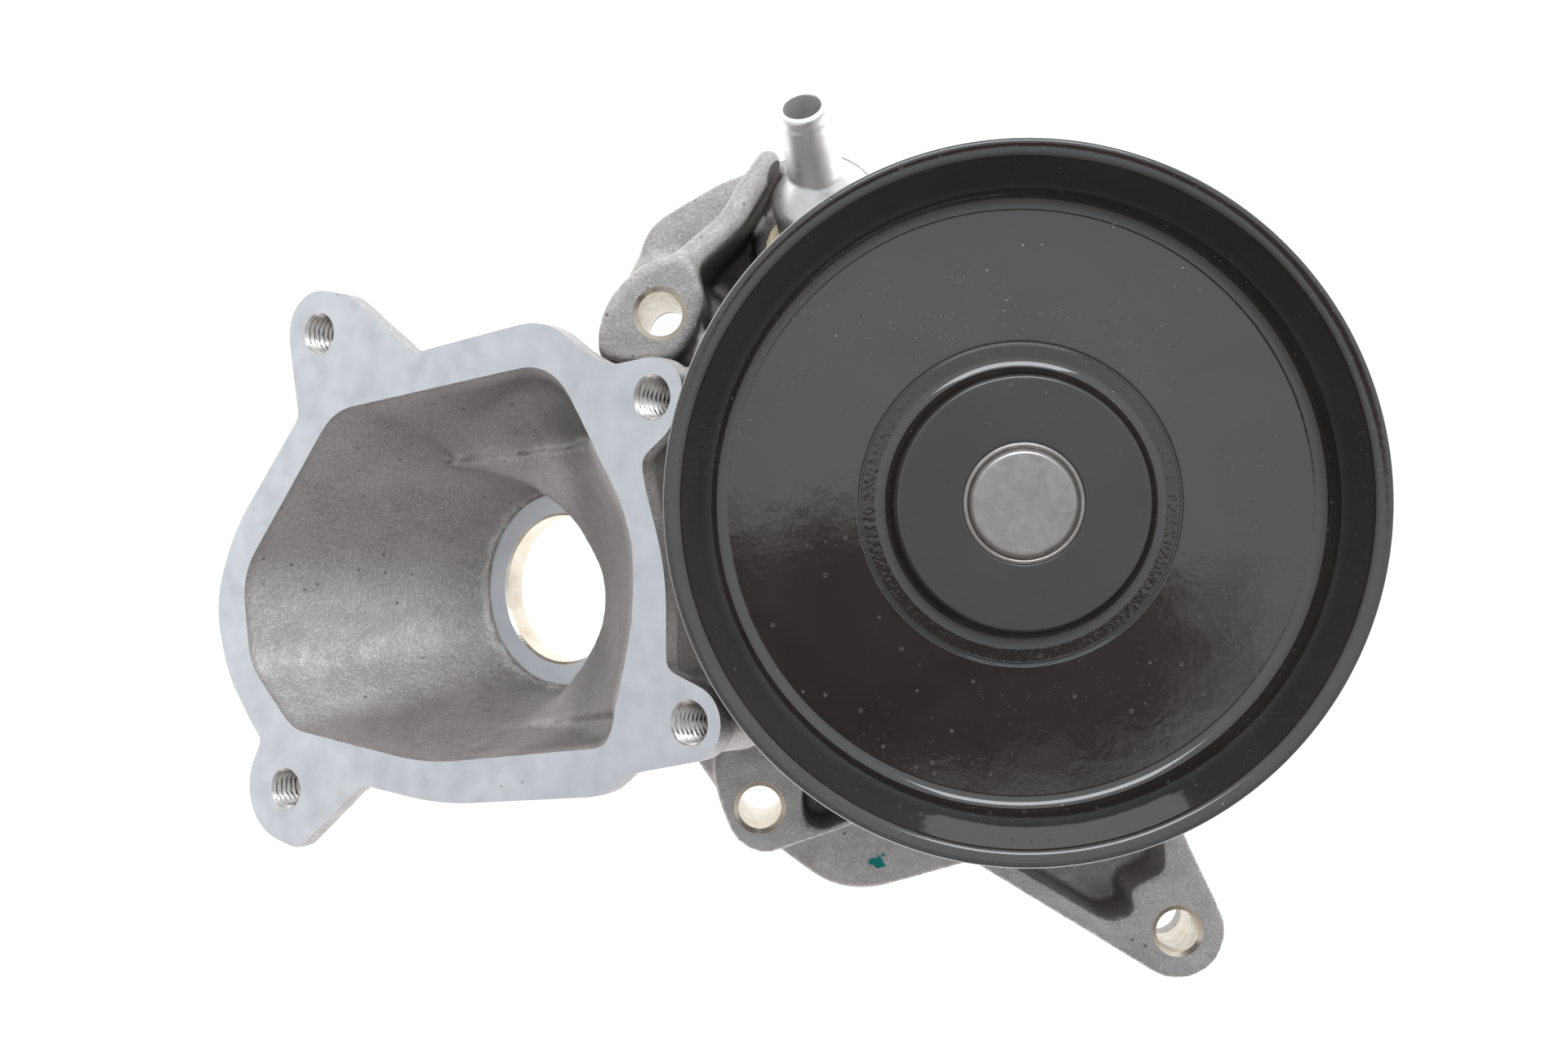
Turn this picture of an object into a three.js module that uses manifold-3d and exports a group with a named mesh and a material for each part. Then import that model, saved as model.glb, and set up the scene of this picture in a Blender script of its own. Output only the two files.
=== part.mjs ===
// Belt-driven engine coolant pump with an integral thermostat chamber.
// Millimetres, +Z up. The shaft axis is the Z axis, z = 0 is the face that bolts to the engine, and
// the belt pulley is at the top. The thermostat chamber lies towards -X, the hose nozzle towards +Y.
import * as THREE from 'three';
import { mergeVertices } from 'three/addons/utils/BufferGeometryUtils.js';
import { ConvexGeometry } from 'three/addons/geometries/ConvexGeometry.js';
import Module from 'manifold-3d';

const wasm = await Module();
wasm.setup();

// ---------------------------------------------------------------- driving dimensions
const FIT = 0.05;                       // radial gap where two pieces are pressed together
const ROUND = 32;                       // sides of a large circle
const INNER = 24;                       // sides of a bearing or seal piece
const SMALL = 16;                       // sides of a small circle

// shaft and bearing, measured along Z
const SHAFT_R = 9.48;
const SHAFT_REAR_R = 8;
const SHAFT_REAR_Z = 0;
const SHAFT_STEP_Z = 34;
const SHAFT_TOP_Z = 95.6;
const BEARING_R = 19.05;
const BEARING_BORE_R = 15.3;
const BEARING_Z = [38, 74];
const BALL_R = 3.175;
const BALL_COUNT = 8;
const BALL_Z = 48;
const ROLLER_R = 2.5;
const ROLLER_LENGTH = 11;
const ROLLER_COUNT = 10;
const ROLLER_Z = 63;
const PITCH_R = 12.3;                   // circle on which the balls and rollers run
const RUN_GAP = 0.12;                   // gap between rolling pieces and their tracks

// water seal and impeller
const PUMP_BORE_R = 37;
const PUMP_BORE_Z = 18;                 // floor of the impeller chamber
const SEAL_R = 18.2;
const SEAL_TOP_Z = 33;
const IMPELLER_R = 33.5;
const IMPELLER_Z = [2.2, 12];
const VANE_COUNT = 7;

// pulley
const PULLEY_R = 61.5;
const PULLEY_Z = [81, 102];
const GROOVE_COUNT = 5;
const GROOVE_PITCH = 3.48;
const GROOVE_DEPTH = 2.4;
const WEB_Z = [86, 89];
const HUB_FACE_Z = 95;
const PILOT_R = 10.45;                  // hub pilot that shows in the middle of the pulley

// thermostat flange: a plane tilted about Y, with the chamber axis through its own origin
const FLANGE_TILT = THREE.MathUtils.degToRad(34.4);
const FLANGE_CENTRE = new THREE.Vector3(-110, -17, 48.8);
const LIP = 4.5;
const THREADED_HOLES = [[-28.8, 51.4], [55, 36], [63.3, -21.6], [-38.3, -40]];
const EAR_R = [8.6, 7.2, 6.9, 10.8];
const THREAD_R = 3.4;
const THREAD_DEPTH = [12, 14, 14, 15];
const SEAT_DEPTH = 40.6;                // bypass seat below the flange face
const SEAT_R = 19.6;
const SEAT_HOLE_R = 15.2;
const HOOD_DEPTH = [20.3, 29];
const HOOD_STEP = 2.2;                  // from the hood down to the ledge between it and the chamber wall
const LEDGE_SPREAD = 1.7;               // how much wider the ledge reaches than the hood

// bolt holes: centre and height of the flat pad or arm that each one passes through
const BOLT_R = 4.4;
const BOSSES = {
  a: { x: -64.8, y: 36.6, top: 51 },
  b: { x: -45.9, y: -60.1, top: 33 },
  c: { x: 37.9, y: -85.3, top: 30 },
};
const PAD_A = [
  [-76.4, 27, 3], [-77, 33.5, 3], [-74.4, 40.4, 3], [-68.3, 46.4, 3],
  [-59, 49, 3], [-56, 39.5, 2.5], [-57.4, 34, 2.5], [-61.5, 27, 3],
];
const PAD_B = [
  [-55.9, -50, 4], [-54.2, -59, 4], [-50.8, -67, 3], [-45.2, -69.8, 3],
  [-24.5, -62.6, 4], [-16, -50, 5], [-30, -38, 4], [-52, -42, 4],
];
const POCKET_B = [[-37.5, -57], [-36.8, -63], [-33.5, -64.3], [-24, -60.5], [-21, -53], [-31, -50]];
const ARM_C = [[-3, -71.6], [-8, -60], [0, -46], [30, -46], [38.7, -66]];
const ARM_C_R = 9.6;
const ARM_POCKET = [
  [-3, -62, 1], [0.5, -69.3, 2], [23.7, -83.1, 2], [29.3, -81.5, 2], [27.6, -76.7, 2],
  [35.2, -73.2, 2], [34.5, -66, 2], [29, -60.5, 2], [17, -61, 2], [4, -58.5, 2],
];
const DOWEL_R = 6;
const DOWEL_LENGTH = 9;

// hose nozzle: its axis leans out of the casting, measured from the middle of its tip
const NOZZLE_TIP = new THREE.Vector3(-37.7, 75.8, 53);
const NOZZLE_AXIS = new THREE.Vector3(-0.18, 0.66, 0.73).normalize();
const NOZZLE_FACE = 35;                 // from the tip down to the face of the casting

// ---------------------------------------------------------------- geometry helpers
function solid(geometry, matrix = new THREE.Matrix4()) {
  const bare = geometry.clone().applyMatrix4(matrix);
  bare.deleteAttribute('normal');
  bare.deleteAttribute('uv');
  const merged = mergeVertices(bare, 1e-4);
  const source = merged.index.array;
  const triangles = [];
  for (let i = 0; i < source.length; i += 3) {
    const [a, b, c] = source.slice(i, i + 3);
    if (a !== b && b !== c && c !== a) triangles.push(a, b, c);
  }
  const make = (order) => new wasm.Manifold(new wasm.Mesh({
    numProp: 3,
    vertProperties: merged.attributes.position.array,
    triVerts: Uint32Array.from(order),
  }));
  const shape = make(triangles);
  return shape.volume() > 0 ? shape : make(triangles.reverse());
}

function union(shapes) {
  return shapes.reduce((whole, shape) => whole.add(shape));
}

function cut(shape, tools) {
  return tools.reduce((rest, tool) => rest.subtract(tool), shape);
}

// a solid turned about the Z axis; the profile is a closed loop of [radius, z]
function turned(profile, sides = ROUND) {
  const loop = [...profile, profile[0]].map(([r, z]) => new THREE.Vector2(r, z));
  return solid(new THREE.LatheGeometry(loop, sides).rotateX(Math.PI / 2));
}

function tubeWall(inner, outer, low, high, sides = ROUND) {
  return turned([[inner, low], [outer, low], [outer, high], [inner, high]], sides);
}

function rod(x, y, low, high, lowR, highR = lowR, sides = SMALL) {
  const cylinder = new THREE.CylinderGeometry(highR, lowR, high - low, sides).rotateX(Math.PI / 2);
  return solid(cylinder, new THREE.Matrix4().makeTranslation(x, y, (low + high) / 2));
}

function circle(x, y, z, r, sides = SMALL) {
  const step = (2 * Math.PI) / sides;
  return Array.from({ length: sides }, (_, i) => (
    new THREE.Vector3(x + r * Math.sin(i * step), y - r * Math.cos(i * step), z)
  ));
}

function hull(...groups) {
  return solid(new ConvexGeometry(groups.flat()));
}

// a straight wall with round ends, from one [x, y, low, high, radius] post to the next
function wall(from, to, sides = 8) {
  const post = ([x, y, low, high, r]) => [...circle(x, y, low, r, sides), ...circle(x, y, high, r, sides)];
  return hull(post(from), post(to));
}

// a closed outline from corners [x, y, setback]; each corner is rounded from its setback points
function outline(corners) {
  const shape = new THREE.Shape();
  corners.forEach(([x, y, setback], i) => {
    const here = new THREE.Vector2(x, y);
    const previous = new THREE.Vector2(...corners.at(i - 1));
    const next = new THREE.Vector2(...corners[(i + 1) % corners.length]);
    const start = previous.sub(here).setLength(setback).add(here);
    const end = next.sub(here).setLength(setback).add(here);
    if (i === 0) shape.moveTo(start.x, start.y);
    else shape.lineTo(start.x, start.y);
    shape.quadraticCurveTo(x, y, end.x, end.y);
  });
  shape.closePath();
  return shape;
}

// ---------------------------------------------------------------- tilted frames
// turns a point given in a tilted frame into the pump's frame
function frame(origin, normal, across) {
  const z = normal.clone().normalize();
  const y = z.clone().cross(across).normalize();
  const x = y.clone().cross(z);
  return new THREE.Matrix4().makeBasis(x, y, z).setPosition(origin);
}

const flangeNormal = new THREE.Vector3(-Math.sin(FLANGE_TILT), 0, Math.cos(FLANGE_TILT));
const FLANGE = frame(FLANGE_CENTRE, flangeNormal, new THREE.Vector3(1, 0, 0));
const NOZZLE = frame(NOZZLE_TIP, NOZZLE_AXIS, new THREE.Vector3(1, 0, 0));

function placed(points, matrix) {
  return points.map((point) => point.clone().applyMatrix4(matrix));
}

function tilted(shape, matrix) {
  return shape.transform(matrix.elements);
}

function prism(corners, low, high, matrix = new THREE.Matrix4(), curveSegments = 3) {
  const options = { depth: high - low, bevelEnabled: false, curveSegments };
  const geometry = new THREE.ExtrudeGeometry(outline(corners), options);
  return tilted(solid(geometry.translate(0, 0, low)), matrix);
}

function ring3(corners, height, curveSegments = 3) {
  return outline(corners).getPoints(curveSegments).map((p) => new THREE.Vector3(p.x, p.y, height));
}

// ---------------------------------------------------------------- housing
const MOUTH = [
  [-25, 36, 5], [32, 43.6, 8], [51.4, 12.7, 9], [51.1, -4.6, 7],
  [45.2, -27, 3], [0, -32.7, 8], [-36.6, -28, 3], [-49, -15.4, 4], [-51.4, 3, 6],
];
const LIP_OUTLINE = [
  [-59.5, -3, 7], [-53.4, 12.2, 6], [-31.5, 38.6, 4], [-2, 46.6, 6], [30, 51.4, 6], [42.2, 43, 4],
  [52.3, 40.6, 3], [52.6, 22.9, 4], [58.2, 5, 7], [58.2, -13.2, 4], [58, -27, 3], [48.8, -31.8, 3],
  [44.7, -35.8, 4], [4, -40.2, 8], [-17.3, -37.8, 4], [-45.7, -30.8, 4], [-55.4, -17.8, 5],
];

// the opening that the hood leaves over the bypass seat, and the plan of the hood itself
const HOOD_EDGE = [
  [-16, 25.4, 3], [7, 21.9, 6], [20, 14.6, 6], [27.6, 3.5, 4], [27.6, -5.5, 4], [21.2, -15.6, 6],
  [12.3, -22.6, 5], [0.5, -26.6, 3], [-34, -24, 9], [-40, 6, 9], [-33, 24, 7],
];
const HOOD_PLAN = [
  [-15, 25.7, 0.1], [41, 28.2, 0.1], [75, 30, 0.1],
  [75, -17, 0.1], [39.4, -21.5, 0.1], [0, -27, 0.1],
];

// the boss under each ear: its radius, and how far it leans away from the chamber at full depth
const EAR_BOSS = [[5.6, -5], [6, 0], [6, 0], [6.6, -3]];

// corners of the plate under each ear, besides its round end: two on the lip, and a blunt one on some
const EAR_CORNERS = [
  [[-34.5, 34], [-3, 46.4], [-20.4, 58.6]], [[42.7, 41.7], [53, 25.4]],
  [[57.9, -12.2], [50.3, -31.3]], [[-17.3, -38.1], [-45.7, -31], [-34.8, -52]],
];

function flangeLip() {
  const shapes = [prism(LIP_OUTLINE, -LIP, 0, FLANGE)];
  THREADED_HOLES.forEach(([x, y], i) => {
    const corners = EAR_CORNERS[i].map(([cx, cy]) => new THREE.Vector3(cx, cy, 0));
    const top = [...circle(x, y, 0, EAR_R[i], 14), ...corners];
    const low = top.map((p) => new THREE.Vector3(p.x, p.y, -LIP));
    shapes.push(hull(placed([...top, ...low], FLANGE)));
    const [bossR, lean] = EAR_BOSS[i];
    const boss = [
      ...circle(x, y, -1, EAR_R[i] - 1.2, 10),
      ...circle(x + lean, y, -THREAD_DEPTH[i] - 3, bossR, 8),
    ];
    const root = [
      new THREE.Vector3(x * 0.72, y * 0.72, -LIP),
      new THREE.Vector3(x * 0.6 + lean, y * 0.6, -26),
    ];
    shapes.push(hull(placed([...boss, ...root], FLANGE)));
  });
  return union(shapes);
}

const CHAMBER_FOOT = { x: -88, y: -17, r: 22.5 };
const INLET_PORT = { x: -57.5, y: -17, rx: 9.5, ry: 17 };

function chamberShell() {
  const lip = LIP_OUTLINE.map(([x, y, setback]) => [x * 0.97, y * 0.97, setback]);
  const upper = placed(ring3(lip, -2, 2), FLANGE);
  const foot = circle(CHAMBER_FOOT.x, CHAMBER_FOOT.y, 0, CHAMBER_FOOT.r, 20);
  const portFoot = circle(INLET_PORT.x, INLET_PORT.y, 0, INLET_PORT.ry + 7, 20);
  const portSide = circle(INLET_PORT.x, INLET_PORT.y, 12, INLET_PORT.ry + 6, 20);
  return hull(upper, foot, portFoot, portSide);
}

// the hood, or the ledge beside it: a wider block whose upper surface lies deeper by the drop
function hoodBlock(spread, drop) {
  const [depth, bottom] = HOOD_DEPTH;
  const top = -depth - drop;
  const block = prism(HOOD_PLAN.map(([x, y, setback]) => [x, y * spread, setback]), -bottom, 3, FLANGE, 1);
  const funnel = hull(placed([...ring3(MOUTH, 3 - drop), ...ring3(HOOD_EDGE, top)], FLANGE));
  const throat = prism(HOOD_EDGE, -bottom - 1, top + 0.1, FLANGE);
  return cut(block, [funnel, throat]);
}

// the hollow of the thermostat chamber, without the hood that overhangs its right-hand side
function chamberHollow() {
  const floor = SEAT_DEPTH + 1;
  const hollow = hull(placed([...ring3(MOUTH, 1), ...circle(0, 0, -floor, SEAT_R + 1, 24)], FLANGE));
  return cut(hollow, [hoodBlock(1, 0), hoodBlock(LEDGE_SPREAD, HOOD_STEP)]);
}

function ellipse(port, z, grow = 0, sides = 18) {
  const step = (2 * Math.PI) / sides;
  return Array.from({ length: sides }, (_, i) => new THREE.Vector3(
    port.x + (port.rx + grow) * Math.cos(i * step),
    port.y + (port.ry + grow) * Math.sin(i * step),
    z,
  ));
}

function waterWays() {
  const sideWindow = placed([...circle(19, -1, -26, 15), ...circle(19, -1, -38, 14)], FLANGE);
  const passage = hull(sideWindow, ellipse(INLET_PORT, 14));
  const port = hull(ellipse(INLET_PORT, 14.5), ellipse(INLET_PORT, -1));
  const seat = placed(circle(0, 0, -SEAT_DEPTH - 3.5, SEAT_HOLE_R, 24), FLANGE);
  const bypass = hull(seat, circle(CHAMBER_FOOT.x, CHAMBER_FOOT.y, -1, SEAT_HOLE_R + 1.3, 24));
  const seatHole = tilted(rod(0, 0, -SEAT_DEPTH - 6, -SEAT_DEPTH + 3, SEAT_HOLE_R, SEAT_HOLE_R, 24), FLANGE);
  return { passage, port, bypass, seatHole };
}

function seatRing() {
  return tilted(rod(0, 0, -SEAT_DEPTH - 5, -SEAT_DEPTH, SEAT_R, SEAT_R, 24), FLANGE);
}

function nose() {
  return turned([
    [0, 0], [45.5, 0], [45.5, 15], [43, 20], [31, 34], [27.5, 42], [25.5, 60],
    [25.2, BEARING_Z[1] - 1.2], [24, BEARING_Z[1]], [0, BEARING_Z[1]],
  ]);
}

// flat pads round bolt holes a and b, and the arm that carries bolt hole c
function boltPads() {
  const { a, b, c } = BOSSES;
  const arm = [0, c.top].flatMap((z) => [
    ...circle(c.x, c.y, z, ARM_C_R, 20),
    ...ARM_C.map(([x, y]) => new THREE.Vector3(x, y, z)),
  ]);
  const pocketB = [12, b.top + 1].flatMap((z) => POCKET_B.map(([x, y]) => new THREE.Vector3(x, y, z)));
  return union([
    prism(PAD_A, 0, a.top),
    prism(PAD_B, 0, b.top).subtract(hull(pocketB)),
    hull(arm),
  ]);
}

function boltHole({ x, y, top }, dowel) {
  const centre = new THREE.Matrix4().makeTranslation(x, y, 0);
  const shoulder = dowel ? DOWEL_LENGTH - 0.5 : 1;
  const mouth = dowel ? DOWEL_R : BOLT_R;
  return tilted(turned([
    [0, -1], [mouth, -1], [mouth, shoulder], [BOLT_R, shoulder], [BOLT_R, top - 9],
    [BOLT_R - 0.25, top - 8.5], [BOLT_R - 0.25, top - 0.7], [BOLT_R + 0.7, top], [BOLT_R + 0.7, top + 1],
    [0, top + 1],
  ], SMALL), centre);
}

// plates, lobes and ribs of the casting round the pump bore
function plates() {
  const { a, b, c } = BOSSES;
  return union([
    wall([-60, 51, 0, 16, 11], [-49, 55, 0, 17, 13], 12),
    wall([-49, 55, 0, 17, 13], [-34, 59, 0, 20, 14], 12),
    wall([-60, 50, 0, 14, 11], [a.x, a.y, 0, 18, 12.5], 12),
    wall([-46, 50, 0, 14, 14], [-20, 30, 0, 14, 16], 12),
    wall([a.x, a.y, 0, 24, 11], [-45, 10, 0, 16, 20], 12),
    wall([b.x + 2, b.y + 2, 0, 14, 9.5], [-25, -62, 0, 14, 17.5], 12),
    wall([-25, -62, 0, 14, 17.5], [-6, -54, 0, 15, 20], 12),
    wall([-25, -62, 0, 12, 17], [-18, -20, 0, 14, 24], 12),
    wall([b.x, b.y + 2, 0, 14, 8], [-56, -24, 0, 14, 19], 12),
    wall([-60, 46.4, 8, 49, 2.8], [-51.2, 55, 8, 43, 2.4]),
    wall([-51.2, 55, 8, 43, 2.4], [-46.9, 63, 8, 38, 2.4]),
    wall([-46.9, 63, 8, 38, 2.4], [-44.2, 68.5, 8, 35, 2.2]),
    wall([a.x + 6, a.y - 6, 8, 46, 4], [-22, 12, 8, 62, 3.5]),
    wall([-44, -46, 8, 31, 4], [-14, -19, 8, 60, 3.5]),
    wall([30, -72, 8, 27, 3], [12, -21, 8, 60, 3.5]),
    wall([0, -24, 8, 64, 3], [0, -40, 8, 22, 3]),
    wall([24, 0, 8, 62, 3], [41, 0, 8, 20, 3]),
    wall([17, 17, 8, 62, 3], [29, 29, 8, 20, 3]),
    wall([-8, 22, 8, 62, 3], [-26, 46, 8, 26, 4]),
  ]);
}

function nozzleBoss() {
  const face = -NOZZLE_FACE;
  const head = placed([...circle(0, 0, face, 15.8, 20), ...circle(0, 0, face - 18, 14, 20)], NOZZLE);
  return hull(head, circle(-33, 56, 4, 13, 20));
}

function nozzleHoles() {
  const face = -NOZZLE_FACE;
  return union([
    tilted(rod(0, 0, face - 4.5, face + 4, 13.2, 13.2, 24), NOZZLE),
    tilted(rod(0, 0, face, face + 30, 10.3, 10.3, 24), NOZZLE),
    tilted(rod(0, 0, face - 15, face - 4, 9, 9, 24), NOZZLE),
    hull(placed(circle(0, 0, face - 15, 5, 14), NOZZLE), circle(-23, 27, 6, 4, 14)),
  ]);
}

function boreStack() {
  const low = tubeWall(0, PUMP_BORE_R, -1, PUMP_BORE_Z);
  const seats = turned([
    [0, 0], [SEAL_R + FIT, 0], [SEAL_R + FIT, SEAL_TOP_Z], [16.5, SEAL_TOP_Z], [16.5, BEARING_Z[0]],
    [BEARING_R + FIT, BEARING_Z[0]], [BEARING_R + FIT, BEARING_Z[1] - 0.6],
    [BEARING_R + 0.7, BEARING_Z[1] + 0.1], [BEARING_R + 0.7, BEARING_Z[1] + 1], [0, BEARING_Z[1] + 1],
  ], INNER);
  return low.add(seats);
}

// leak chamber: weep water from behind the seal collects in a capped pocket
const LEAK = { x: 17, y: -47, r: 7.6, floor: 9, top: 31 };

function leakPocket() {
  const seat = new THREE.Vector3(4, -13, 35.5);
  const drain = hull(
    circle(seat.x, seat.y, seat.z, 1.8, 10),
    circle(LEAK.x - 2, LEAK.y + 4, 19, 1.8, 10),
  );
  return union([
    rod(LEAK.x, LEAK.y, LEAK.floor, LEAK.top + 1, LEAK.r, LEAK.r, 24),
    drain,
  ]);
}

const O_RING_GROOVE = { inner: 39.6, outer: 43, depth: 2.6 };
const GASKET_GROOVE = { width: 2.6, depth: 1.8 };

// one closed groove round both ports; the same outline carries the gasket
function portLoop(inset, low, high) {
  const outerRing = hull(
    [...circle(CHAMBER_FOOT.x, CHAMBER_FOOT.y, low, 20.6 - inset, 24),
      ...circle(CHAMBER_FOOT.x, CHAMBER_FOOT.y, high, 20.6 - inset, 24)],
  );
  const portRing = hull([...ellipse(INLET_PORT, low, 3 - inset), ...ellipse(INLET_PORT, high, 3 - inset)]);
  return union([outerRing, portRing]);
}

function gasketBand(inset, depth) {
  const band = portLoop(inset, -0.5, depth);
  return band.subtract(portLoop(GASKET_GROOVE.width - inset, -1, depth + 1));
}

function armPocket() {
  return prism(ARM_POCKET, 11, BOSSES.c.top + 9);
}

function pulleyClearance() {
  return rod(0, 0, PULLEY_Z[0] - 1.5, 140, PULLEY_R + 1, PULLEY_R + 1, 48);
}

function housingShape() {
  const water = waterWays();
  const hollow = union([chamberHollow(), water.passage]);
  const body = union([
    chamberShell(), flangeLip(), nose(), plates(), boltPads(), nozzleBoss(),
    rod(LEAK.x, LEAK.y, 0, LEAK.top, LEAK.r + 3.4, LEAK.r + 2.4, 24),
  ]);
  const rough = cut(body, [hollow, water.port, water.bypass]).add(
    seatRing().subtract(tilted(rod(0, 0, -90, 0, SEAT_HOLE_R, SEAT_HOLE_R, 24), FLANGE)),
  );
  const threads = THREADED_HOLES.map(([x, y], i) => (
    tilted(rod(x, y, -THREAD_DEPTH[i], 1, THREAD_R, THREAD_R, 12), FLANGE)
  ));
  const aboveFlange = tilted(rod(0, 0, 0, 60, 110, 110, 12), FLANGE);
  const belowBase = rod(-50, 0, -40, 0, 200, 200, 12);
  return cut(rough, [
    water.seatHole, aboveFlange, belowBase, pulleyClearance(), boreStack(), nozzleHoles(), leakPocket(),
    armPocket(), ...threads,
    boltHole(BOSSES.a, true), boltHole(BOSSES.b, false), boltHole(BOSSES.c, true),
    tubeWall(O_RING_GROOVE.inner, O_RING_GROOVE.outer, -1, O_RING_GROOVE.depth),
    gasketBand(0, GASKET_GROOVE.depth),
  ]);
}

// ---------------------------------------------------------------- bearing
function arcProfile(centreR, centreZ, radius, fromAngle, toAngle, steps = 3) {
  return Array.from({ length: steps + 1 }, (_, i) => {
    const angle = fromAngle + ((toAngle - fromAngle) * i) / steps;
    return [centreR + radius * Math.cos(angle), centreZ + radius * Math.sin(angle)];
  });
}

const TRACK_R = BALL_R + RUN_GAP + 0.1;

function shaftShape() {
  const half = Math.acos((PITCH_R - SHAFT_R) / TRACK_R);
  return turned([
    [0, SHAFT_REAR_Z], [SHAFT_REAR_R - 0.8, SHAFT_REAR_Z], [SHAFT_REAR_R, SHAFT_REAR_Z + 0.8],
    [SHAFT_REAR_R, SHAFT_STEP_Z], [SHAFT_R, SHAFT_STEP_Z + 0.8],
    ...arcProfile(PITCH_R, BALL_Z, TRACK_R, Math.PI + half, Math.PI - half),
    [SHAFT_R, SHAFT_TOP_Z - 0.7], [SHAFT_R - 0.7, SHAFT_TOP_Z], [0, SHAFT_TOP_Z],
  ], INNER);
}

function outerRace() {
  const [low, high] = BEARING_Z;
  const half = Math.acos((BEARING_BORE_R - PITCH_R) / TRACK_R);
  const rollerTrack = PITCH_R + ROLLER_R + RUN_GAP;
  const reach = ROLLER_LENGTH / 2 + 1;
  return turned([
    [BEARING_BORE_R, low + FIT], [BEARING_R - 0.6, low + FIT], [BEARING_R, low + 0.6],
    [BEARING_R, high - 0.6], [BEARING_R - 0.6, high], [BEARING_BORE_R, high],
    [BEARING_BORE_R, ROLLER_Z + reach + 0.5], [rollerTrack, ROLLER_Z + reach],
    [rollerTrack, ROLLER_Z - reach], [BEARING_BORE_R, ROLLER_Z - reach - 0.5],
    ...arcProfile(PITCH_R, BALL_Z, TRACK_R, half, -half),
  ], INNER);
}

function onPitchCircle(i, count, z) {
  const angle = (2 * Math.PI * i) / count;
  return new THREE.Matrix4().makeTranslation(PITCH_R * Math.cos(angle), PITCH_R * Math.sin(angle), z);
}

function ballCage() {
  const pockets = Array.from({ length: BALL_COUNT }, (_, i) => (
    solid(new THREE.SphereGeometry(BALL_R + 0.6, 8, 5), onPitchCircle(i, BALL_COUNT, BALL_Z))
  ));
  return cut(tubeWall(11.2, 13.4, BALL_Z - 4.4, BALL_Z + 4.4, INNER), pockets);
}

function rollerCage() {
  const pocket = new THREE.CylinderGeometry(ROLLER_R + 0.25, ROLLER_R + 0.25, ROLLER_LENGTH + 0.4, 8);
  const pockets = Array.from({ length: ROLLER_COUNT }, (_, i) => (
    solid(pocket.clone().rotateX(Math.PI / 2), onPitchCircle(i, ROLLER_COUNT, ROLLER_Z))
  ));
  return cut(tubeWall(11.4, 13.2, ROLLER_Z - 7, ROLLER_Z + 7, INNER), pockets);
}

function ball(i) {
  return solid(new THREE.SphereGeometry(BALL_R, 10, 6), onPitchCircle(i, BALL_COUNT, BALL_Z));
}

function roller(i) {
  const half = ROLLER_LENGTH / 2;
  return tilted(rod(0, 0, -half, half, ROLLER_R, ROLLER_R, 10), onPitchCircle(i, ROLLER_COUNT, ROLLER_Z));
}

function bearingSeal(z) {
  const lip = SHAFT_R + 0.15;
  return turned([
    [lip, z - 0.4], [lip + 1.2, z - 1], [BEARING_BORE_R - FIT, z - 1], [BEARING_BORE_R - FIT, z + 1],
    [lip + 1.2, z + 1], [lip, z + 0.4],
  ], INNER);
}

// ---------------------------------------------------------------- water seal and impeller
function sealCup() {
  return turned([
    [SEAL_R - 1, PUMP_BORE_Z - 1], [SEAL_R + 2.4, PUMP_BORE_Z - 1], [SEAL_R + 2.4, PUMP_BORE_Z - FIT],
    [SEAL_R, PUMP_BORE_Z - FIT], [SEAL_R, SEAL_TOP_Z - FIT], [10.6, SEAL_TOP_Z - FIT],
    [10.6, SEAL_TOP_Z - 1.1], [SEAL_R - 1, SEAL_TOP_Z - 1.1],
  ], INNER);
}

function sealBellows() {
  const outer = [[13.4, 21.9], [13.4, 23.6], [12.5, 25.2], [13.4, 26.8], [12.5, 28.4], [13.4, 30],
    [13.4, 31.8]];
  const inner = outer.map(([r, z]) => [r - 1.3, z]).reverse();
  return turned([...outer, ...inner], INNER);
}

function sealSpring() {
  const turns = 4;
  const coilR = 15.1;
  const wireR = 0.75;
  const z = [23, 30.9];
  class Helix extends THREE.Curve {
    getPoint(t, target = new THREE.Vector3()) {
      const angle = 2 * Math.PI * turns * t;
      return target.set(coilR * Math.cos(angle), coilR * Math.sin(angle), z[0] + (z[1] - z[0]) * t);
    }
  }
  const section = new THREE.Shape().absarc(0, 0, wireR, 0, 2 * Math.PI);
  const options = { steps: turns * 12, curveSegments: 3, bevelEnabled: false, extrudePath: new Helix() };
  return solid(new THREE.ExtrudeGeometry(section, options));
}

function carbonRing() {
  return turned([[10.4, 16.5], [13, 16.5], [13, 19.2], [16, 19.2], [16, 21.8], [10.4, 21.8]], INNER);
}

function matingRing() {
  return tubeWall(9.9, 14.3, 12.75, 16.35, INNER);
}

function sealBoot() {
  return turned([
    [SHAFT_REAR_R + FIT, 12.1], [14.6, 12.1], [14.6, 12.7], [9.8, 12.7], [9.8, 16.2],
    [SHAFT_REAR_R + FIT, 16.2],
  ], INNER);
}

function slinger() {
  return turned([
    [SHAFT_R + FIT, 35], [13.4, 34.4], [13.6, 35.2], [10.6, 35.9], [10.6, 37], [SHAFT_R + FIT, 37],
  ], INNER);
}

function vane() {
  const reach = IMPELLER_R - 1.5;
  const blade = new THREE.Shape();
  blade.moveTo(12, -1.3);
  blade.quadraticCurveTo(25, -1.5, reach, -13);
  blade.lineTo(reach + 0.6, -10.6);
  blade.quadraticCurveTo(25, 1.3, 12, 1.3);
  blade.closePath();
  const options = { depth: IMPELLER_Z[1] - 1 - IMPELLER_Z[0], curveSegments: 5, bevelEnabled: false };
  return new THREE.ExtrudeGeometry(blade, options).translate(0, 0, IMPELLER_Z[0]);
}

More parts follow.
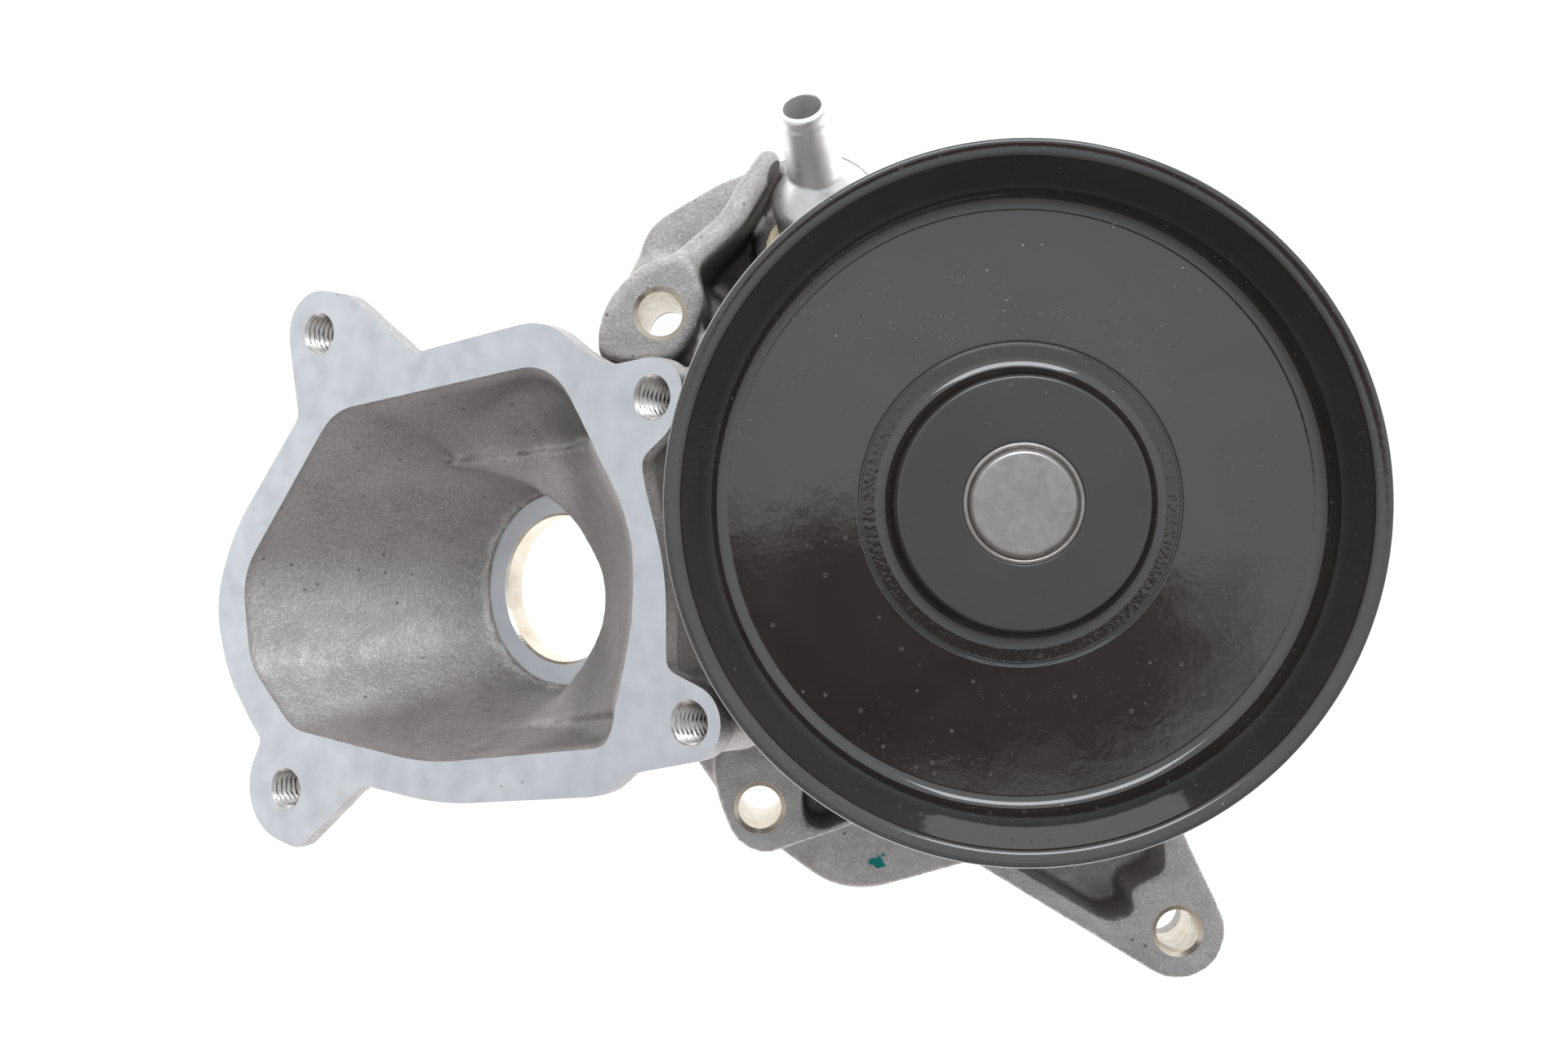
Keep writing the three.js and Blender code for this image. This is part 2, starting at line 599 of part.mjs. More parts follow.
function impellerShape() {
  const [low, high] = IMPELLER_Z;
  const disc = turned([
    [10.6, low + 0.8], [14, low + 0.8], [15.5, high - 3.4], [IMPELLER_R, high - 2.4],
    [IMPELLER_R, high - 0.4], [15, high], [10.6, high],
  ], ROUND);
  const vanes = Array.from({ length: VANE_COUNT }, (_, i) => (
    solid(vane(), new THREE.Matrix4().makeRotationZ((2 * Math.PI * i) / VANE_COUNT))
  ));
  const bore = rod(0, 0, -5, 20, 10.6, 10.6, INNER);
  return union([disc, ...vanes]).subtract(bore);
}

// ---------------------------------------------------------------- pulley
function pulleyShape() {
  const [low, high] = PULLEY_Z;
  const grooves = [];
  const start = (low + high) / 2 - (GROOVE_COUNT * GROOVE_PITCH) / 2;
  for (let i = 0; i < GROOVE_COUNT; i += 1) {
    const z = start + i * GROOVE_PITCH;
    const bottom = PULLEY_R - 0.3 - GROOVE_DEPTH;
    grooves.push([PULLEY_R - 0.3, z + 0.2], [bottom, z + GROOVE_PITCH / 2]);
  }
  return turned([
    [PULLEY_R, low], [PULLEY_R, start - 0.3], ...grooves,
    [PULLEY_R, start + GROOVE_COUNT * GROOVE_PITCH + 0.3], [PULLEY_R, high - 0.5], [PULLEY_R - 0.5, high],
    [58.6, high - 0.3], [55.1, 92.6], [52.3, WEB_Z[1]], [23.8, WEB_Z[1]], [21.9, HUB_FACE_Z],
    [PILOT_R + FIT, HUB_FACE_Z], [PILOT_R + FIT, HUB_FACE_Z - 3], [19, HUB_FACE_Z - 3],
    [20.4, WEB_Z[0]], [52.4, WEB_Z[0]], [55.2, low],
  ], 48);
}

function pulleyHub() {
  return turned([
    [SHAFT_R + FIT, 77], [14.4, 77], [15, 77.6], [15, 84], [18.4, 86.5], [18.4, HUB_FACE_Z - 3 - FIT],
    [PILOT_R, HUB_FACE_Z - 3 - FIT], [PILOT_R, HUB_FACE_Z - 0.2], [SHAFT_R + 0.5, HUB_FACE_Z + 0.1],
    [SHAFT_R + FIT, HUB_FACE_Z - 0.3],
  ], INNER);
}

// ---------------------------------------------------------------- nozzle, seals and dowels
function nozzleShape() {
  const face = -NOZZLE_FACE;
  return tilted(turned([
    [3.7, 0], [4.7, 0], [5.1, -0.5], [5.1, -2.2], [5.2, -2.8], [5.45, -15.7], [9.6, -21], [10, -22],
    [10, -25.4], [9.2, -25.8], [9.2, -26.8], [9.9, -27.2], [9.9, -28.4], [8.6, -28.8], [8.6, -30],
    [9.9, -30.4], [9.9, face + 2.2], [9.9, face - 4.3],
    [8.9, face - 4.4], [8.9, face - 7], [7.4, face - 7.2], [7.4, face - 9.6], [8.9, face - 9.8],
    [8.9, face - 13.4], [8.3, face - 14], [3.7, face - 14],
  ], 20), NOZZLE);
}

function torus(radius, section, sides = INNER) {
  return solid(new THREE.TorusGeometry(radius, section, 6, sides));
}

function nozzleRing() {
  const place = new THREE.Matrix4().makeTranslation(0, 0, -NOZZLE_FACE - 8.4);
  return tilted(tilted(torus(8.2, 0.7), place), NOZZLE);
}

function rearRing() {
  const middle = (O_RING_GROOVE.inner + O_RING_GROOVE.outer) / 2;
  return tilted(torus(middle, 1.15, ROUND), new THREE.Matrix4().makeTranslation(0, 0, 1.35));
}

function portGasket() {
  const clear = 0.25;
  const band = gasketBand(clear, GASKET_GROOVE.depth - 0.2);
  return band.subtract(rod(-70, -17, -5, 0.2, 80, 80, 12));
}

function dowel({ x, y }) {
  const place = new THREE.Matrix4().makeTranslation(x, y, 0);
  return tilted(turned([
    [4.9, 0.5], [DOWEL_R - 0.4, 0.5], [DOWEL_R - FIT, 0.9], [DOWEL_R - FIT, DOWEL_LENGTH - 0.6],
    [4.9, DOWEL_LENGTH - 0.6],
  ], SMALL), place);
}

function leakCap() {
  const place = new THREE.Matrix4().makeTranslation(LEAK.x, LEAK.y, 0);
  const outer = LEAK.r - FIT;
  return tilted(turned([
    [0, LEAK.top - 1.4], [outer - 1.8, LEAK.top - 1.4], [outer - 1, LEAK.top - 4.5], [outer, LEAK.top - 4.5],
    [outer, LEAK.top - 0.6], [outer - 0.8, LEAK.top - 0.4], [0, LEAK.top - 0.4],
  ], 24), place);
}

// ---------------------------------------------------------------- materials and scene graph
const MATERIALS = {
  casting: new THREE.MeshStandardMaterial({ color: 0xb3b1ac, roughness: 0.6, metalness: 0.85 }),
  turned: new THREE.MeshStandardMaterial({ color: 0xd6d3cc, roughness: 0.25, metalness: 1 }),
  paint: new THREE.MeshStandardMaterial({ color: 0x17181b, roughness: 0.25, metalness: 0.1 }),
  steel: new THREE.MeshStandardMaterial({ color: 0xa7a6a3, roughness: 0.3, metalness: 1 }),
  rubber: new THREE.MeshStandardMaterial({ color: 0x1c1c1c, roughness: 0.8, metalness: 0 }),
  cage: new THREE.MeshStandardMaterial({ color: 0x7a6a48, roughness: 0.55, metalness: 0 }),
  carbon: new THREE.MeshStandardMaterial({ color: 0x2a2a2c, roughness: 0.5, metalness: 0.1 }),
  ceramic: new THREE.MeshStandardMaterial({ color: 0x5b5d62, roughness: 0.3, metalness: 0 }),
  brass: new THREE.MeshStandardMaterial({ color: 0xb08d4a, roughness: 0.35, metalness: 1 }),
  plastic: new THREE.MeshStandardMaterial({ color: 0x26231f, roughness: 0.5, metalness: 0 }),
};

const pump = new THREE.Group();

function addMesh(name, shape, material) {
  const mesh = shape.getMesh();
  const geometry = new THREE.BufferGeometry();
  geometry.setAttribute('position', new THREE.BufferAttribute(mesh.vertProperties, 3));
  geometry.setIndex(new THREE.BufferAttribute(mesh.triVerts, 1));
  geometry.computeVertexNormals();
  const node = new THREE.Mesh(geometry, MATERIALS[material]);
  node.name = name;
  pump.add(node);
}

addMesh('pump_housing', housingShape(), 'casting');
addMesh('hose_nozzle', nozzleShape(), 'turned');
addMesh('nozzle_o_ring', nozzleRing(), 'rubber');
addMesh('rear_o_ring', rearRing(), 'rubber');
addMesh('port_gasket', portGasket(), 'rubber');
addMesh('dowel_sleeve_a', dowel(BOSSES.a), 'steel');
addMesh('dowel_sleeve_c', dowel(BOSSES.c), 'steel');
addMesh('leak_chamber_cap', leakCap(), 'steel');

addMesh('bearing_outer_race', outerRace(), 'steel');
addMesh('bearing_seal_front', bearingSeal(BEARING_Z[1] - 1.8), 'rubber');
addMesh('bearing_seal_rear', bearingSeal(BEARING_Z[0] + 1.8), 'rubber');
addMesh('seal_cup', sealCup(), 'brass');
addMesh('seal_bellows', sealBellows(), 'rubber');
addMesh('seal_spring', sealSpring(), 'steel');
addMesh('seal_carbon_ring', carbonRing(), 'carbon');

addMesh('pump_shaft', shaftShape(), 'steel');
addMesh('pulley', pulleyShape(), 'paint');
addMesh('pulley_hub', pulleyHub(), 'steel');
addMesh('slinger', slinger(), 'rubber');
addMesh('seal_mating_ring', matingRing(), 'ceramic');
addMesh('seal_boot', sealBoot(), 'rubber');
addMesh('impeller', impellerShape(), 'plastic');
addMesh('impeller_bush', tubeWall(SHAFT_REAR_R + FIT, 10.55, 3, 11.9, INNER), 'brass');

addMesh('ball_cage', ballCage(), 'cage');
for (let i = 0; i < BALL_COUNT; i += 1) addMesh(`bearing_ball_${i + 1}`, ball(i), 'steel');

addMesh('roller_cage', rollerCage(), 'cage');
for (let i = 0; i < ROLLER_COUNT; i += 1) addMesh(`bearing_roller_${i + 1}`, roller(i), 'steel');

export default pump;
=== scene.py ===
"""Engine coolant pump with an integral thermostat chamber: the looks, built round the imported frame.

Shapes are made in millimetres in the pump's own frame (shaft axis = Z, z = 0 the engine face) and are
scaled to metres when they are finished.
"""
import math

import bmesh
import bpy
import numpy as np
from mathutils import Matrix, Vector


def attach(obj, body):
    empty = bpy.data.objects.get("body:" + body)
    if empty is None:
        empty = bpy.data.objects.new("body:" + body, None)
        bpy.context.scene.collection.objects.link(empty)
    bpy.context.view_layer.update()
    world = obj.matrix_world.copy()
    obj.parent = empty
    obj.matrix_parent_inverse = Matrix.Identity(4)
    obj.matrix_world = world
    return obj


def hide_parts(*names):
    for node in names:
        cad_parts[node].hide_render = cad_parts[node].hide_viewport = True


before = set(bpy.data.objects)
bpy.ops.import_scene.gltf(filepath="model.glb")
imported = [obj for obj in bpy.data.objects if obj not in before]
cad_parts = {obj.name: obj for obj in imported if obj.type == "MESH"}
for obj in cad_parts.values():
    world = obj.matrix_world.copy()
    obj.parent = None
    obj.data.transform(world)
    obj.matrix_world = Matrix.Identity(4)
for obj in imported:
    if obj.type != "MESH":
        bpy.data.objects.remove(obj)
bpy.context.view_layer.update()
MM = 0.001

# ---------------------------------------------------------------- dimensions, in millimetres
SHAFT_R = 9.48
SHAFT_TOP = 95.6
BEARING_R = 19.05
BEARING_Z = (38, 74)
PITCH_R = 12.3
BALL_Z, BALL_GROOVE_R = 48, 3.3
ROLLER_Z, ROLLER_R = 63, 2.5
PUMP_BORE_R, PUMP_BORE_Z = 37, 18
SEAL_R, SEAL_TOP = 18.2, 33
FIT = 0.05

PULLEY_R = 61.5
PULLEY_Z = (81, 102)
GROOVE_COUNT, GROOVE_PITCH, GROOVE_DEPTH = 5, 3.48, 2.4
WEB_Z = (86, 89)
HUB_FACE = 95
PILOT_R = 10.45
VANE_COUNT = 7

FLANGE_TILT = math.radians(34.4)
FLANGE_CENTRE = Vector((-110, -17, 48.8))
FLANGE_NORMAL = Vector((-math.sin(FLANGE_TILT), 0, math.cos(FLANGE_TILT)))
THREADED_HOLES = ((-28.8, 51.4), (55, 36), (63.3, -21.6), (-38.3, -40))
THREAD_DEPTHS = (12, 14, 14, 15)
EAR_R = (8.6, 7.2, 6.9, 10.8)
THREAD_R, THREAD_PITCH = 3.4, 1.25
LIP = 4.5
SEAT_DEPTH, SEAT_R, SEAT_HOLE_R = 40.6, 19.6, 15.2
HOOD_DEPTH = (20.3, 29)
HOOD_STEP = 2.2                 # from the hood down to the ledge between it and the chamber wall
LEDGE_SPREAD = 1.7              # the ledge's width over the hood's

BOLT_R = 4.4
BOSSES = {
    "a": dict(x=-64.8, y=36.6, top=51),
    "b": dict(x=-45.9, y=-60.1, top=33),
    "c": dict(x=37.9, y=-85.3, top=30),
}
PAD_A = (
    (-76.4, 27, 3), (-77, 33.5, 3), (-74.4, 40.4, 3), (-68.3, 46.4, 3),
    (-59, 49, 3), (-56, 39.5, 2.5), (-57.4, 34, 2.5), (-61.5, 27, 3),
)
PAD_B = (
    (-55.9, -50, 4), (-54.2, -59, 4), (-50.8, -67, 3), (-45.2, -69.8, 3),
    (-24.5, -62.6, 4), (-16, -50, 5), (-30, -38, 4), (-52, -42, 4),
)
POCKET_B = ((-37.5, -57), (-36.8, -63), (-33.5, -64.3), (-24, -60.5), (-21, -53), (-31, -50))
ARM_C = ((-3, -71.6), (-8, -60), (0, -46), (30, -46), (38.7, -66))
ARM_C_R = 9.6
ARM_POCKET = (
    (-3, -62, 1), (0.5, -69.3, 2), (23.7, -83.1, 2), (29.3, -81.5, 2), (27.6, -76.7, 2),
    (35.2, -73.2, 2), (34.5, -66, 2), (29, -60.5, 2), (17, -61, 2), (4, -58.5, 2),
)
DOWEL_R, DOWEL_LENGTH = 6, 9

NOZZLE_TIP = Vector((-37.7, 75.8, 53))
NOZZLE_AXIS = Vector((-0.18, 0.66, 0.73)).normalized()
NOZZLE_FACE = 35

CHAMBER_FOOT = (-88, -17, 22.5)
PORT = dict(x=-57.5, y=-17, rx=9.5, ry=17)
LEAK = dict(x=17, y=-47, r=7.6, floor=9, top=31)
O_RING_GROOVE = (39.6, 43, 2.6)
GASKET_WIDTH, GASKET_DEPTH = 2.6, 1.8

FINE = 96                       # sides of a large circle
CAST = 48                       # sides of a cast post or boss
STOCK = 3                       # metal left above each machined face until it is cut
VOXEL = 0.75
CAST_SMOOTHING = 14
ON_AXIS = 1e-6                  # a radius below this is a pole
HOLD_LENGTH, HOLD_INSET = 1.2, 0.25     # steps longer than this are held flat, this far from their ends

PATCH_CENTRE, PATCH_RADII = (0.055, -0.06), (0.14, 0.062)      # of the dark patch, as slopes of the sky
FLOOR_DROP = 0.3                # the paper lies this far under the engine face


# ---------------------------------------------------------------- shapes
def to_object(name, build):
    mesh = bpy.data.meshes.new(name)
    build.normal_update()
    build.to_mesh(mesh)
    build.free()
    obj = bpy.data.objects.new(name, mesh)
    bpy.context.scene.collection.objects.link(obj)
    return obj


def tilt_frame(origin, normal):
    z = normal.normalized()
    y = z.cross(Vector((1, 0, 0))).normalized()
    x = y.cross(z)
    return Matrix.Translation(origin) @ Matrix((x, y, z)).transposed().to_4x4()


FLANGE = tilt_frame(FLANGE_CENTRE, FLANGE_NORMAL)
NOZZLE = tilt_frame(NOZZLE_TIP, NOZZLE_AXIS)
HERE = Matrix.Identity(4)


def circle(x, y, z, r, sides=CAST):
    step = 2 * math.pi / sides
    return [Vector((x + r * math.cos(i * step), y + r * math.sin(i * step), z)) for i in range(sides)]


def ellipse(port, z, grow=0.0, sides=CAST):
    step = 2 * math.pi / sides
    return [Vector((port["x"] + (port["rx"] + grow) * math.cos(i * step),
                    port["y"] + (port["ry"] + grow) * math.sin(i * step), z)) for i in range(sides)]


def hull(points, matrix=HERE):
    build = bmesh.new()
    verts = [build.verts.new(matrix @ Vector(p)) for p in points]
    made = bmesh.ops.convex_hull(build, input=verts, use_existing_faces=False)
    spare = [g for g in made["geom_unused"] + made["geom_interior"] if isinstance(g, bmesh.types.BMVert)]
    bmesh.ops.delete(build, geom=list(set(spare)), context="VERTS")
    bmesh.ops.recalc_face_normals(build, faces=build.faces)
    return to_object("hull", build)


def grid_solid(rows):
    """A closed solid from rings of points.

    A first row of one point is a pole, and so is the last one; otherwise the first row joins the last.
    """
    build = bmesh.new()
    made = [[build.verts.new(p) for p in row] for row in rows]
    poles = len(rows[0]) == 1
    pairs = list(zip(made, made[1:])) + ([] if poles else [(made[-1], made[0])])
    for low, high in pairs:
        sides = max(len(low), len(high))
        for i in range(sides):
            j = (i + 1) % sides
            corners = [low[i % len(low)], low[j % len(low)], high[j % len(high)], high[i % len(high)]]
            build.faces.new(list(dict.fromkeys(corners)))
    bmesh.ops.recalc_face_normals(build, faces=build.faces)
    return to_object("turned", build)


def ring_points(r, z, sides, matrix):
    if r < ON_AXIS:
        return [matrix @ Vector((0, 0, z))]
    return [matrix @ p for p in circle(0, 0, z, r, sides)]


def bend(start, corner, end, t):
    """A point on the curve from start to end that is drawn towards the corner."""
    return start.lerp(corner, t).lerp(corner.lerp(end, t), t)


def rounded(profile, closed):
    """[r, z, fillet] corners into points, with each fillet as a short arc-like curve."""
    points = []
    count = len(profile)
    for i, corner in enumerate(profile):
        here = Vector(corner[:2])
        fillet = corner[2] if len(corner) > 2 else 0
        ends = not closed and i in (0, count - 1)
        if not fillet or ends:
            points.append(here)
            continue
        before = Vector(profile[i - 1][:2]) - here
        after = Vector(profile[(i + 1) % count][:2]) - here
        reach = min(fillet, before.length * 0.49, after.length * 0.49)
        start = here + before.normalized() * reach
        end = here + after.normalized() * reach
        for t in (0, 0.25, 0.5, 0.75, 1):
            points.append(bend(start, here, end, t))
    return points


def held_flat(points, closed):
    """Extra points near both ends of each long step, so that smooth shading leaves its middle flat."""
    made = []
    for i, here in enumerate(points):
        made.append(here)
        after = points[(i + 1) % len(points)]
        if (after - here).length > HOLD_LENGTH and (closed or i < len(points) - 1):
            step = (after - here).normalized() * HOLD_INSET
            made += [here + step, after - step]
    return made


def turned(profile, sides=FINE, matrix=HERE):
    """A solid of revolution about Z from [r, z, fillet] corners; off the axis the profile is closed."""
    closed = profile[0][0] > ON_AXIS
    points = held_flat(rounded(profile, closed), closed)
    return grid_solid([ring_points(r, z, sides, matrix) for r, z in points])


def rod(x, y, low, high, low_r, high_r=None, sides=CAST, matrix=HERE):
    high_r = low_r if high_r is None else high_r
    place = matrix @ Matrix.Translation((x, y, 0))
    return turned([(0, low), (low_r, low), (high_r, high), (0, high)], sides, place)


def wall(start, end):
    """A wall between two round posts, each given as x, y, low, high and radius."""
    posts = []
    for x, y, low, high, r in (start, end):
        posts += circle(x, y, low, r) + circle(x, y, high, r)
    return hull(posts)


def outline(corners, steps=8):
    """Corners [x, y, setback] into a closed loop of points, each corner rounded between its setbacks."""
    loop = []
    for i, (x, y, setback) in enumerate(corners):
        here = Vector((x, y))
        start = here + (Vector(corners[i - 1][:2]) - here).normalized() * setback
        end = here + (Vector(corners[(i + 1) % len(corners)][:2]) - here).normalized() * setback
        loop += [bend(start, here, end, k / steps) for k in range(steps + 1)]
    return loop


def extruded(loop, low, high, matrix=HERE):
    build = bmesh.new()
    rings = [[build.verts.new(matrix @ Vector((p.x, p.y, z))) for p in loop] for z in (low, high)]
    for i in range(len(loop)):
        j = (i + 1) % len(loop)
        build.faces.new([rings[0][i], rings[0][j], rings[1][j], rings[1][i]])
    caps = [build.faces.new(ring) for ring in rings]
    bmesh.ops.triangulate(build, faces=caps)
    bmesh.ops.recalc_face_normals(build, faces=build.faces)
    return to_object("extruded", build)


def prism(corners, low, high, matrix=HERE, steps=8):
    return extruded(outline(corners, steps), low, high, matrix)


def bake(obj):
    """Replace the object's mesh by its evaluated one, and drop the modifiers."""
    graph = bpy.context.evaluated_depsgraph_get()
    mesh = bpy.data.meshes.new_from_object(obj.evaluated_get(graph))
    obj.modifiers.clear()
    old = obj.data
    obj.data = mesh
    bpy.data.meshes.remove(old)
    return obj


def discard(obj):
    mesh = obj.data
    bpy.data.objects.remove(obj)
    bpy.data.meshes.remove(mesh)


def combine(base, tools, operation):
    for tool in tools:
        step = base.modifiers.new("step", "BOOLEAN")
        step.operation = operation
        step.solver = "MANIFOLD"
        step.object = tool
        bake(base)
        discard(tool)
    return base


def join(base, *tools):
    return combine(base, tools, "UNION")


def cut(base, *tools):
    return combine(base, tools, "DIFFERENCE")


def tap(depth, matrix):
    """A threaded hole's cutter: its radius follows a helical thread, with a chamfer at the mouth."""
    sides, steps = 40, 8
    rows = [[matrix @ Vector((0, 0, -depth - 1.8))]]
    count = int(depth / THREAD_PITCH * steps)
    for k in range(count + 1):
        z = -depth + depth * k / count
        row = []
        for i in range(sides):
            phase = (z / THREAD_PITCH + i / sides) % 1
            ridge = 1 - abs(2 * phase - 1)
            chamfer = max(0.0, 4.15 - THREAD_R + z)
            r = THREAD_R + max(0.62 * min(1, 1.35 * ridge), chamfer)
            angle = 2 * math.pi * i / sides
            row.append(matrix @ Vector((r * math.cos(angle), r * math.sin(angle), z)))
        rows.append(row)
    rows.append([matrix @ p for p in circle(0, 0, 2, 4.9, sides)])
    rows.append([matrix @ Vector((0, 0, 2))])
    return grid_solid(rows)


# ---------------------------------------------------------------- casting, before machining
MOUTH = (
    (-25, 36, 5), (32, 43.6, 8), (51.4, 12.7, 9), (51.1, -4.6, 7),
    (45.2, -27, 3), (0, -32.7, 8), (-36.6, -28, 3), (-49, -15.4, 4), (-51.4, 3, 6),
)
LIP_OUTLINE = (
    (-59.5, -3, 7), (-53.4, 12.2, 6), (-31.5, 38.6, 4), (-2, 46.6, 6), (30, 51.4, 6), (42.2, 43, 4),
    (52.3, 40.6, 3), (52.6, 22.9, 4), (58.2, 5, 7), (58.2, -13.2, 4), (58, -27, 3), (48.8, -31.8, 3),
    (44.7, -35.8, 4), (4, -40.2, 8), (-17.3, -37.8, 4), (-45.7, -30.8, 4), (-55.4, -17.8, 5),
)
HOOD_EDGE = (                   # the opening that the hood leaves over the seat
    (-16, 25.4, 3), (7, 21.9, 6), (20, 14.6, 6), (27.6, 3.5, 4), (27.6, -5.5, 4), (21.2, -15.6, 6),
    (12.3, -22.6, 5), (0.5, -26.6, 3), (-34, -24, 9), (-40, 6, 9), (-33, 24, 7),
)
HOOD_PLAN = ((-15, 25.7), (41, 28.2), (75, 30), (75, -17), (39.4, -21.5), (0, -27))
EAR_BOSS = ((5.6, -5), (6, 0), (6, 0), (6.6, -3))       # radius, and lean at full depth
EAR_CORNERS = (                 # of the plate under each ear, besides its round end
    ((-34.5, 34), (-3, 46.4), (-20.4, 58.6)), ((42.7, 41.7), (53, 25.4)),
    ((57.9, -12.2), (50.3, -31.3)), ((-17.3, -38.1), (-45.7, -31), (-34.8, -52)),
)


def loop3(corners, z):
    return [Vector((p.x, p.y, z)) for p in outline(corners)]


def flange_lip():
    shapes = [prism(LIP_OUTLINE, -LIP, STOCK, FLANGE)]
    ears = zip(THREADED_HOLES, EAR_R, THREAD_DEPTHS, EAR_CORNERS, EAR_BOSS)
    for (x, y), ear, depth, corners, (boss_r, lean) in ears:
        plan = circle(x, y, 0, ear) + [Vector((*corner, 0)) for corner in corners]
        shapes.append(hull([Vector((p.x, p.y, z)) for p in plan for z in (-LIP, STOCK)], FLANGE))
        boss = circle(x, y, -1, ear - 1.2) + circle(x + lean, y, -depth - 3, boss_r)
        boss += [Vector((x * 0.72, y * 0.72, -LIP)), Vector((x * 0.6 + lean, y * 0.6, -26))]
        shapes.append(hull(boss, FLANGE))
    return shapes


def chamber_shell():
    scaled = [(u * 0.97, v * 0.97, setback) for u, v, setback in LIP_OUTLINE]
    upper = [FLANGE @ p for p in loop3(scaled, -2)]
    x, y, foot_r = CHAMBER_FOOT
    foot = circle(x, y, 0, foot_r) + circle(x, y, -STOCK, foot_r)
    port = circle(PORT["x"], PORT["y"], -STOCK, PORT["ry"] + 7)
    side = circle(PORT["x"], PORT["y"], 12, PORT["ry"] + 6)
    return hull(upper + foot + port + side)


def nose():
    low, high = BEARING_Z
    return turned([
        (0, -STOCK), (45.5, -STOCK), (45.5, 15), (43, 20), (31, 34), (27.5, 42), (25.5, 60),
        (25, high + STOCK), (0, high + STOCK),
    ])


def plates():
    a, b = BOSSES["a"], BOSSES["b"]
    low = -STOCK
    return [
        wall((-60, 51, low, 16, 11), (-49, 55, low, 17, 13)),
        wall((-49, 55, low, 17, 13), (-34, 59, low, 20, 14)),
        wall((-60, 50, low, 14, 11), (a["x"], a["y"], low, 18, 12.5)),
        wall((-46, 50, low, 14, 14), (-20, 30, low, 14, 16)),
        wall((a["x"], a["y"], low, 24, 11), (-45, 10, low, 16, 20)),
        wall((b["x"] + 2, b["y"] + 2, low, 14, 9.5), (-25, -62, low, 14, 17.5)),
        wall((-25, -62, low, 14, 17.5), (-6, -54, low, 15, 20)),
        wall((-25, -62, low, 12, 17), (-18, -20, low, 14, 24)),
        wall((b["x"], b["y"] + 2, low, 14, 8), (-56, -24, low, 14, 19)),
        wall((-60, 46.4, 8, 49, 3), (-51.4, 55, 8, 43, 2.8)),
        wall((-51.4, 55, 8, 43, 2.8), (-47.2, 63, 8, 38, 2.8)),
        wall((-47.2, 63, 8, 38, 2.8), (-44.2, 68.5, 8, 35, 2.4)),
        wall((a["x"] + 6, a["y"] - 6, 8, 46, 4), (-22, 12, 8, 62, 3.5)),
        wall((-44, -46, 8, 31, 4), (-14, -19, 8, 60, 3.5)),
        wall((30, -72, 8, 27, 3), (12, -21, 8, 60, 3.5)),
        wall((0, -24, 8, 64, 3), (0, -40, 8, 22, 3)),
        wall((24, 0, 8, 62, 3), (41, 0, 8, 20, 3)),
        wall((17, 17, 8, 62, 3), (29, 29, 8, 20, 3)),
        wall((-8, 22, 8, 62, 3), (-26, 46, 8, 26, 4)),
    ]


def bolt_pads():
    """Flat pads round bolt holes a and b, and the arm that carries bolt hole c."""
    a, b, c = (BOSSES[key] for key in "abc")
    arm = []
    for z in (-STOCK, c["top"]):
        arm += circle(c["x"], c["y"], z, ARM_C_R, FINE) + [Vector((x, y, z)) for x, y in ARM_C]
    pocket = hull([Vector((x, y, z)) for x, y in POCKET_B for z in (12, b["top"] + 1)])
    return [prism(PAD_A, -STOCK, a["top"]), cut(prism(PAD_B, -STOCK, b["top"]), pocket), hull(arm)]


def nozzle_boss():
    head = circle(0, 0, -NOZZLE_FACE + 1.5, 15.8) + circle(0, 0, -NOZZLE_FACE - 18, 14)
    return hull([NOZZLE @ p for p in head] + circle(-33, 56, 4, 13))


def chamber_hollow():
    """The thermostat chamber without the hood that overhangs the seat on its +X side."""
    floor = SEAT_DEPTH + 1
    bottom = HOOD_DEPTH[1]
    hollow = hull(loop3(MOUTH, 6) + loop3(MOUTH, 0) + circle(0, 0, -floor, SEAT_R + 1), FLANGE)
    for spread, drop in ((1, 0), (LEDGE_SPREAD, HOOD_STEP)):    # the hood, and the lower ledge beside it
        top = -HOOD_DEPTH[0] - drop
        block = prism([(x, y * spread, 0.1) for x, y in HOOD_PLAN], -bottom, 9, FLANGE, 1)
        funnel = hull(loop3(MOUTH, 12) + loop3(MOUTH, -drop) + loop3(HOOD_EDGE, top), FLANGE)
        throat = prism(HOOD_EDGE, -bottom - 1, top + 0.1, FLANGE)
        hollow = cut(hollow, cut(block, funnel, throat))
    return hollow


def passages():
    window = [FLANGE @ p for p in circle(19, -1, -26, 15) + circle(19, -1, -38, 14)]
    seat = [FLANGE @ p for p in circle(0, 0, -SEAT_DEPTH - 3.5, SEAT_HOLE_R + 0.4)]
    return [
        hull(window + ellipse(PORT, 14)),
        hull(ellipse(PORT, 14.5) + ellipse(PORT, -STOCK - 1)),
        hull(seat + circle(*CHAMBER_FOOT[:2], -STOCK - 1, SEAT_HOLE_R + 1.3)),
    ]


def arm_pocket():
    return prism(ARM_POCKET, 11, BOSSES["c"]["top"] + 9)


def raw_casting():
    body = nose()
    join(body, chamber_shell(), *flange_lip(), *plates(), nozzle_boss())
    join(body, rod(LEAK["x"], LEAK["y"], -STOCK, LEAK["top"] + 2, LEAK["r"] + 3.4, LEAK["r"] + 2.4))
    join(body, *bolt_pads())
    cut(body, chamber_hollow(), *passages(), arm_pocket())
    seat = rod(0, 0, -SEAT_DEPTH - 5, -SEAT_DEPTH + 1.2, SEAT_R, sides=FINE, matrix=FLANGE)
    join(body, cut(seat, rod(0, 0, -90, 10, SEAT_HOLE_R - 1, sides=FINE, matrix=FLANGE)))
    cut(body, rod(0, 0, PULLEY_Z[0] - 1.5, 140, PULLEY_R + 1, sides=FINE))
    return body


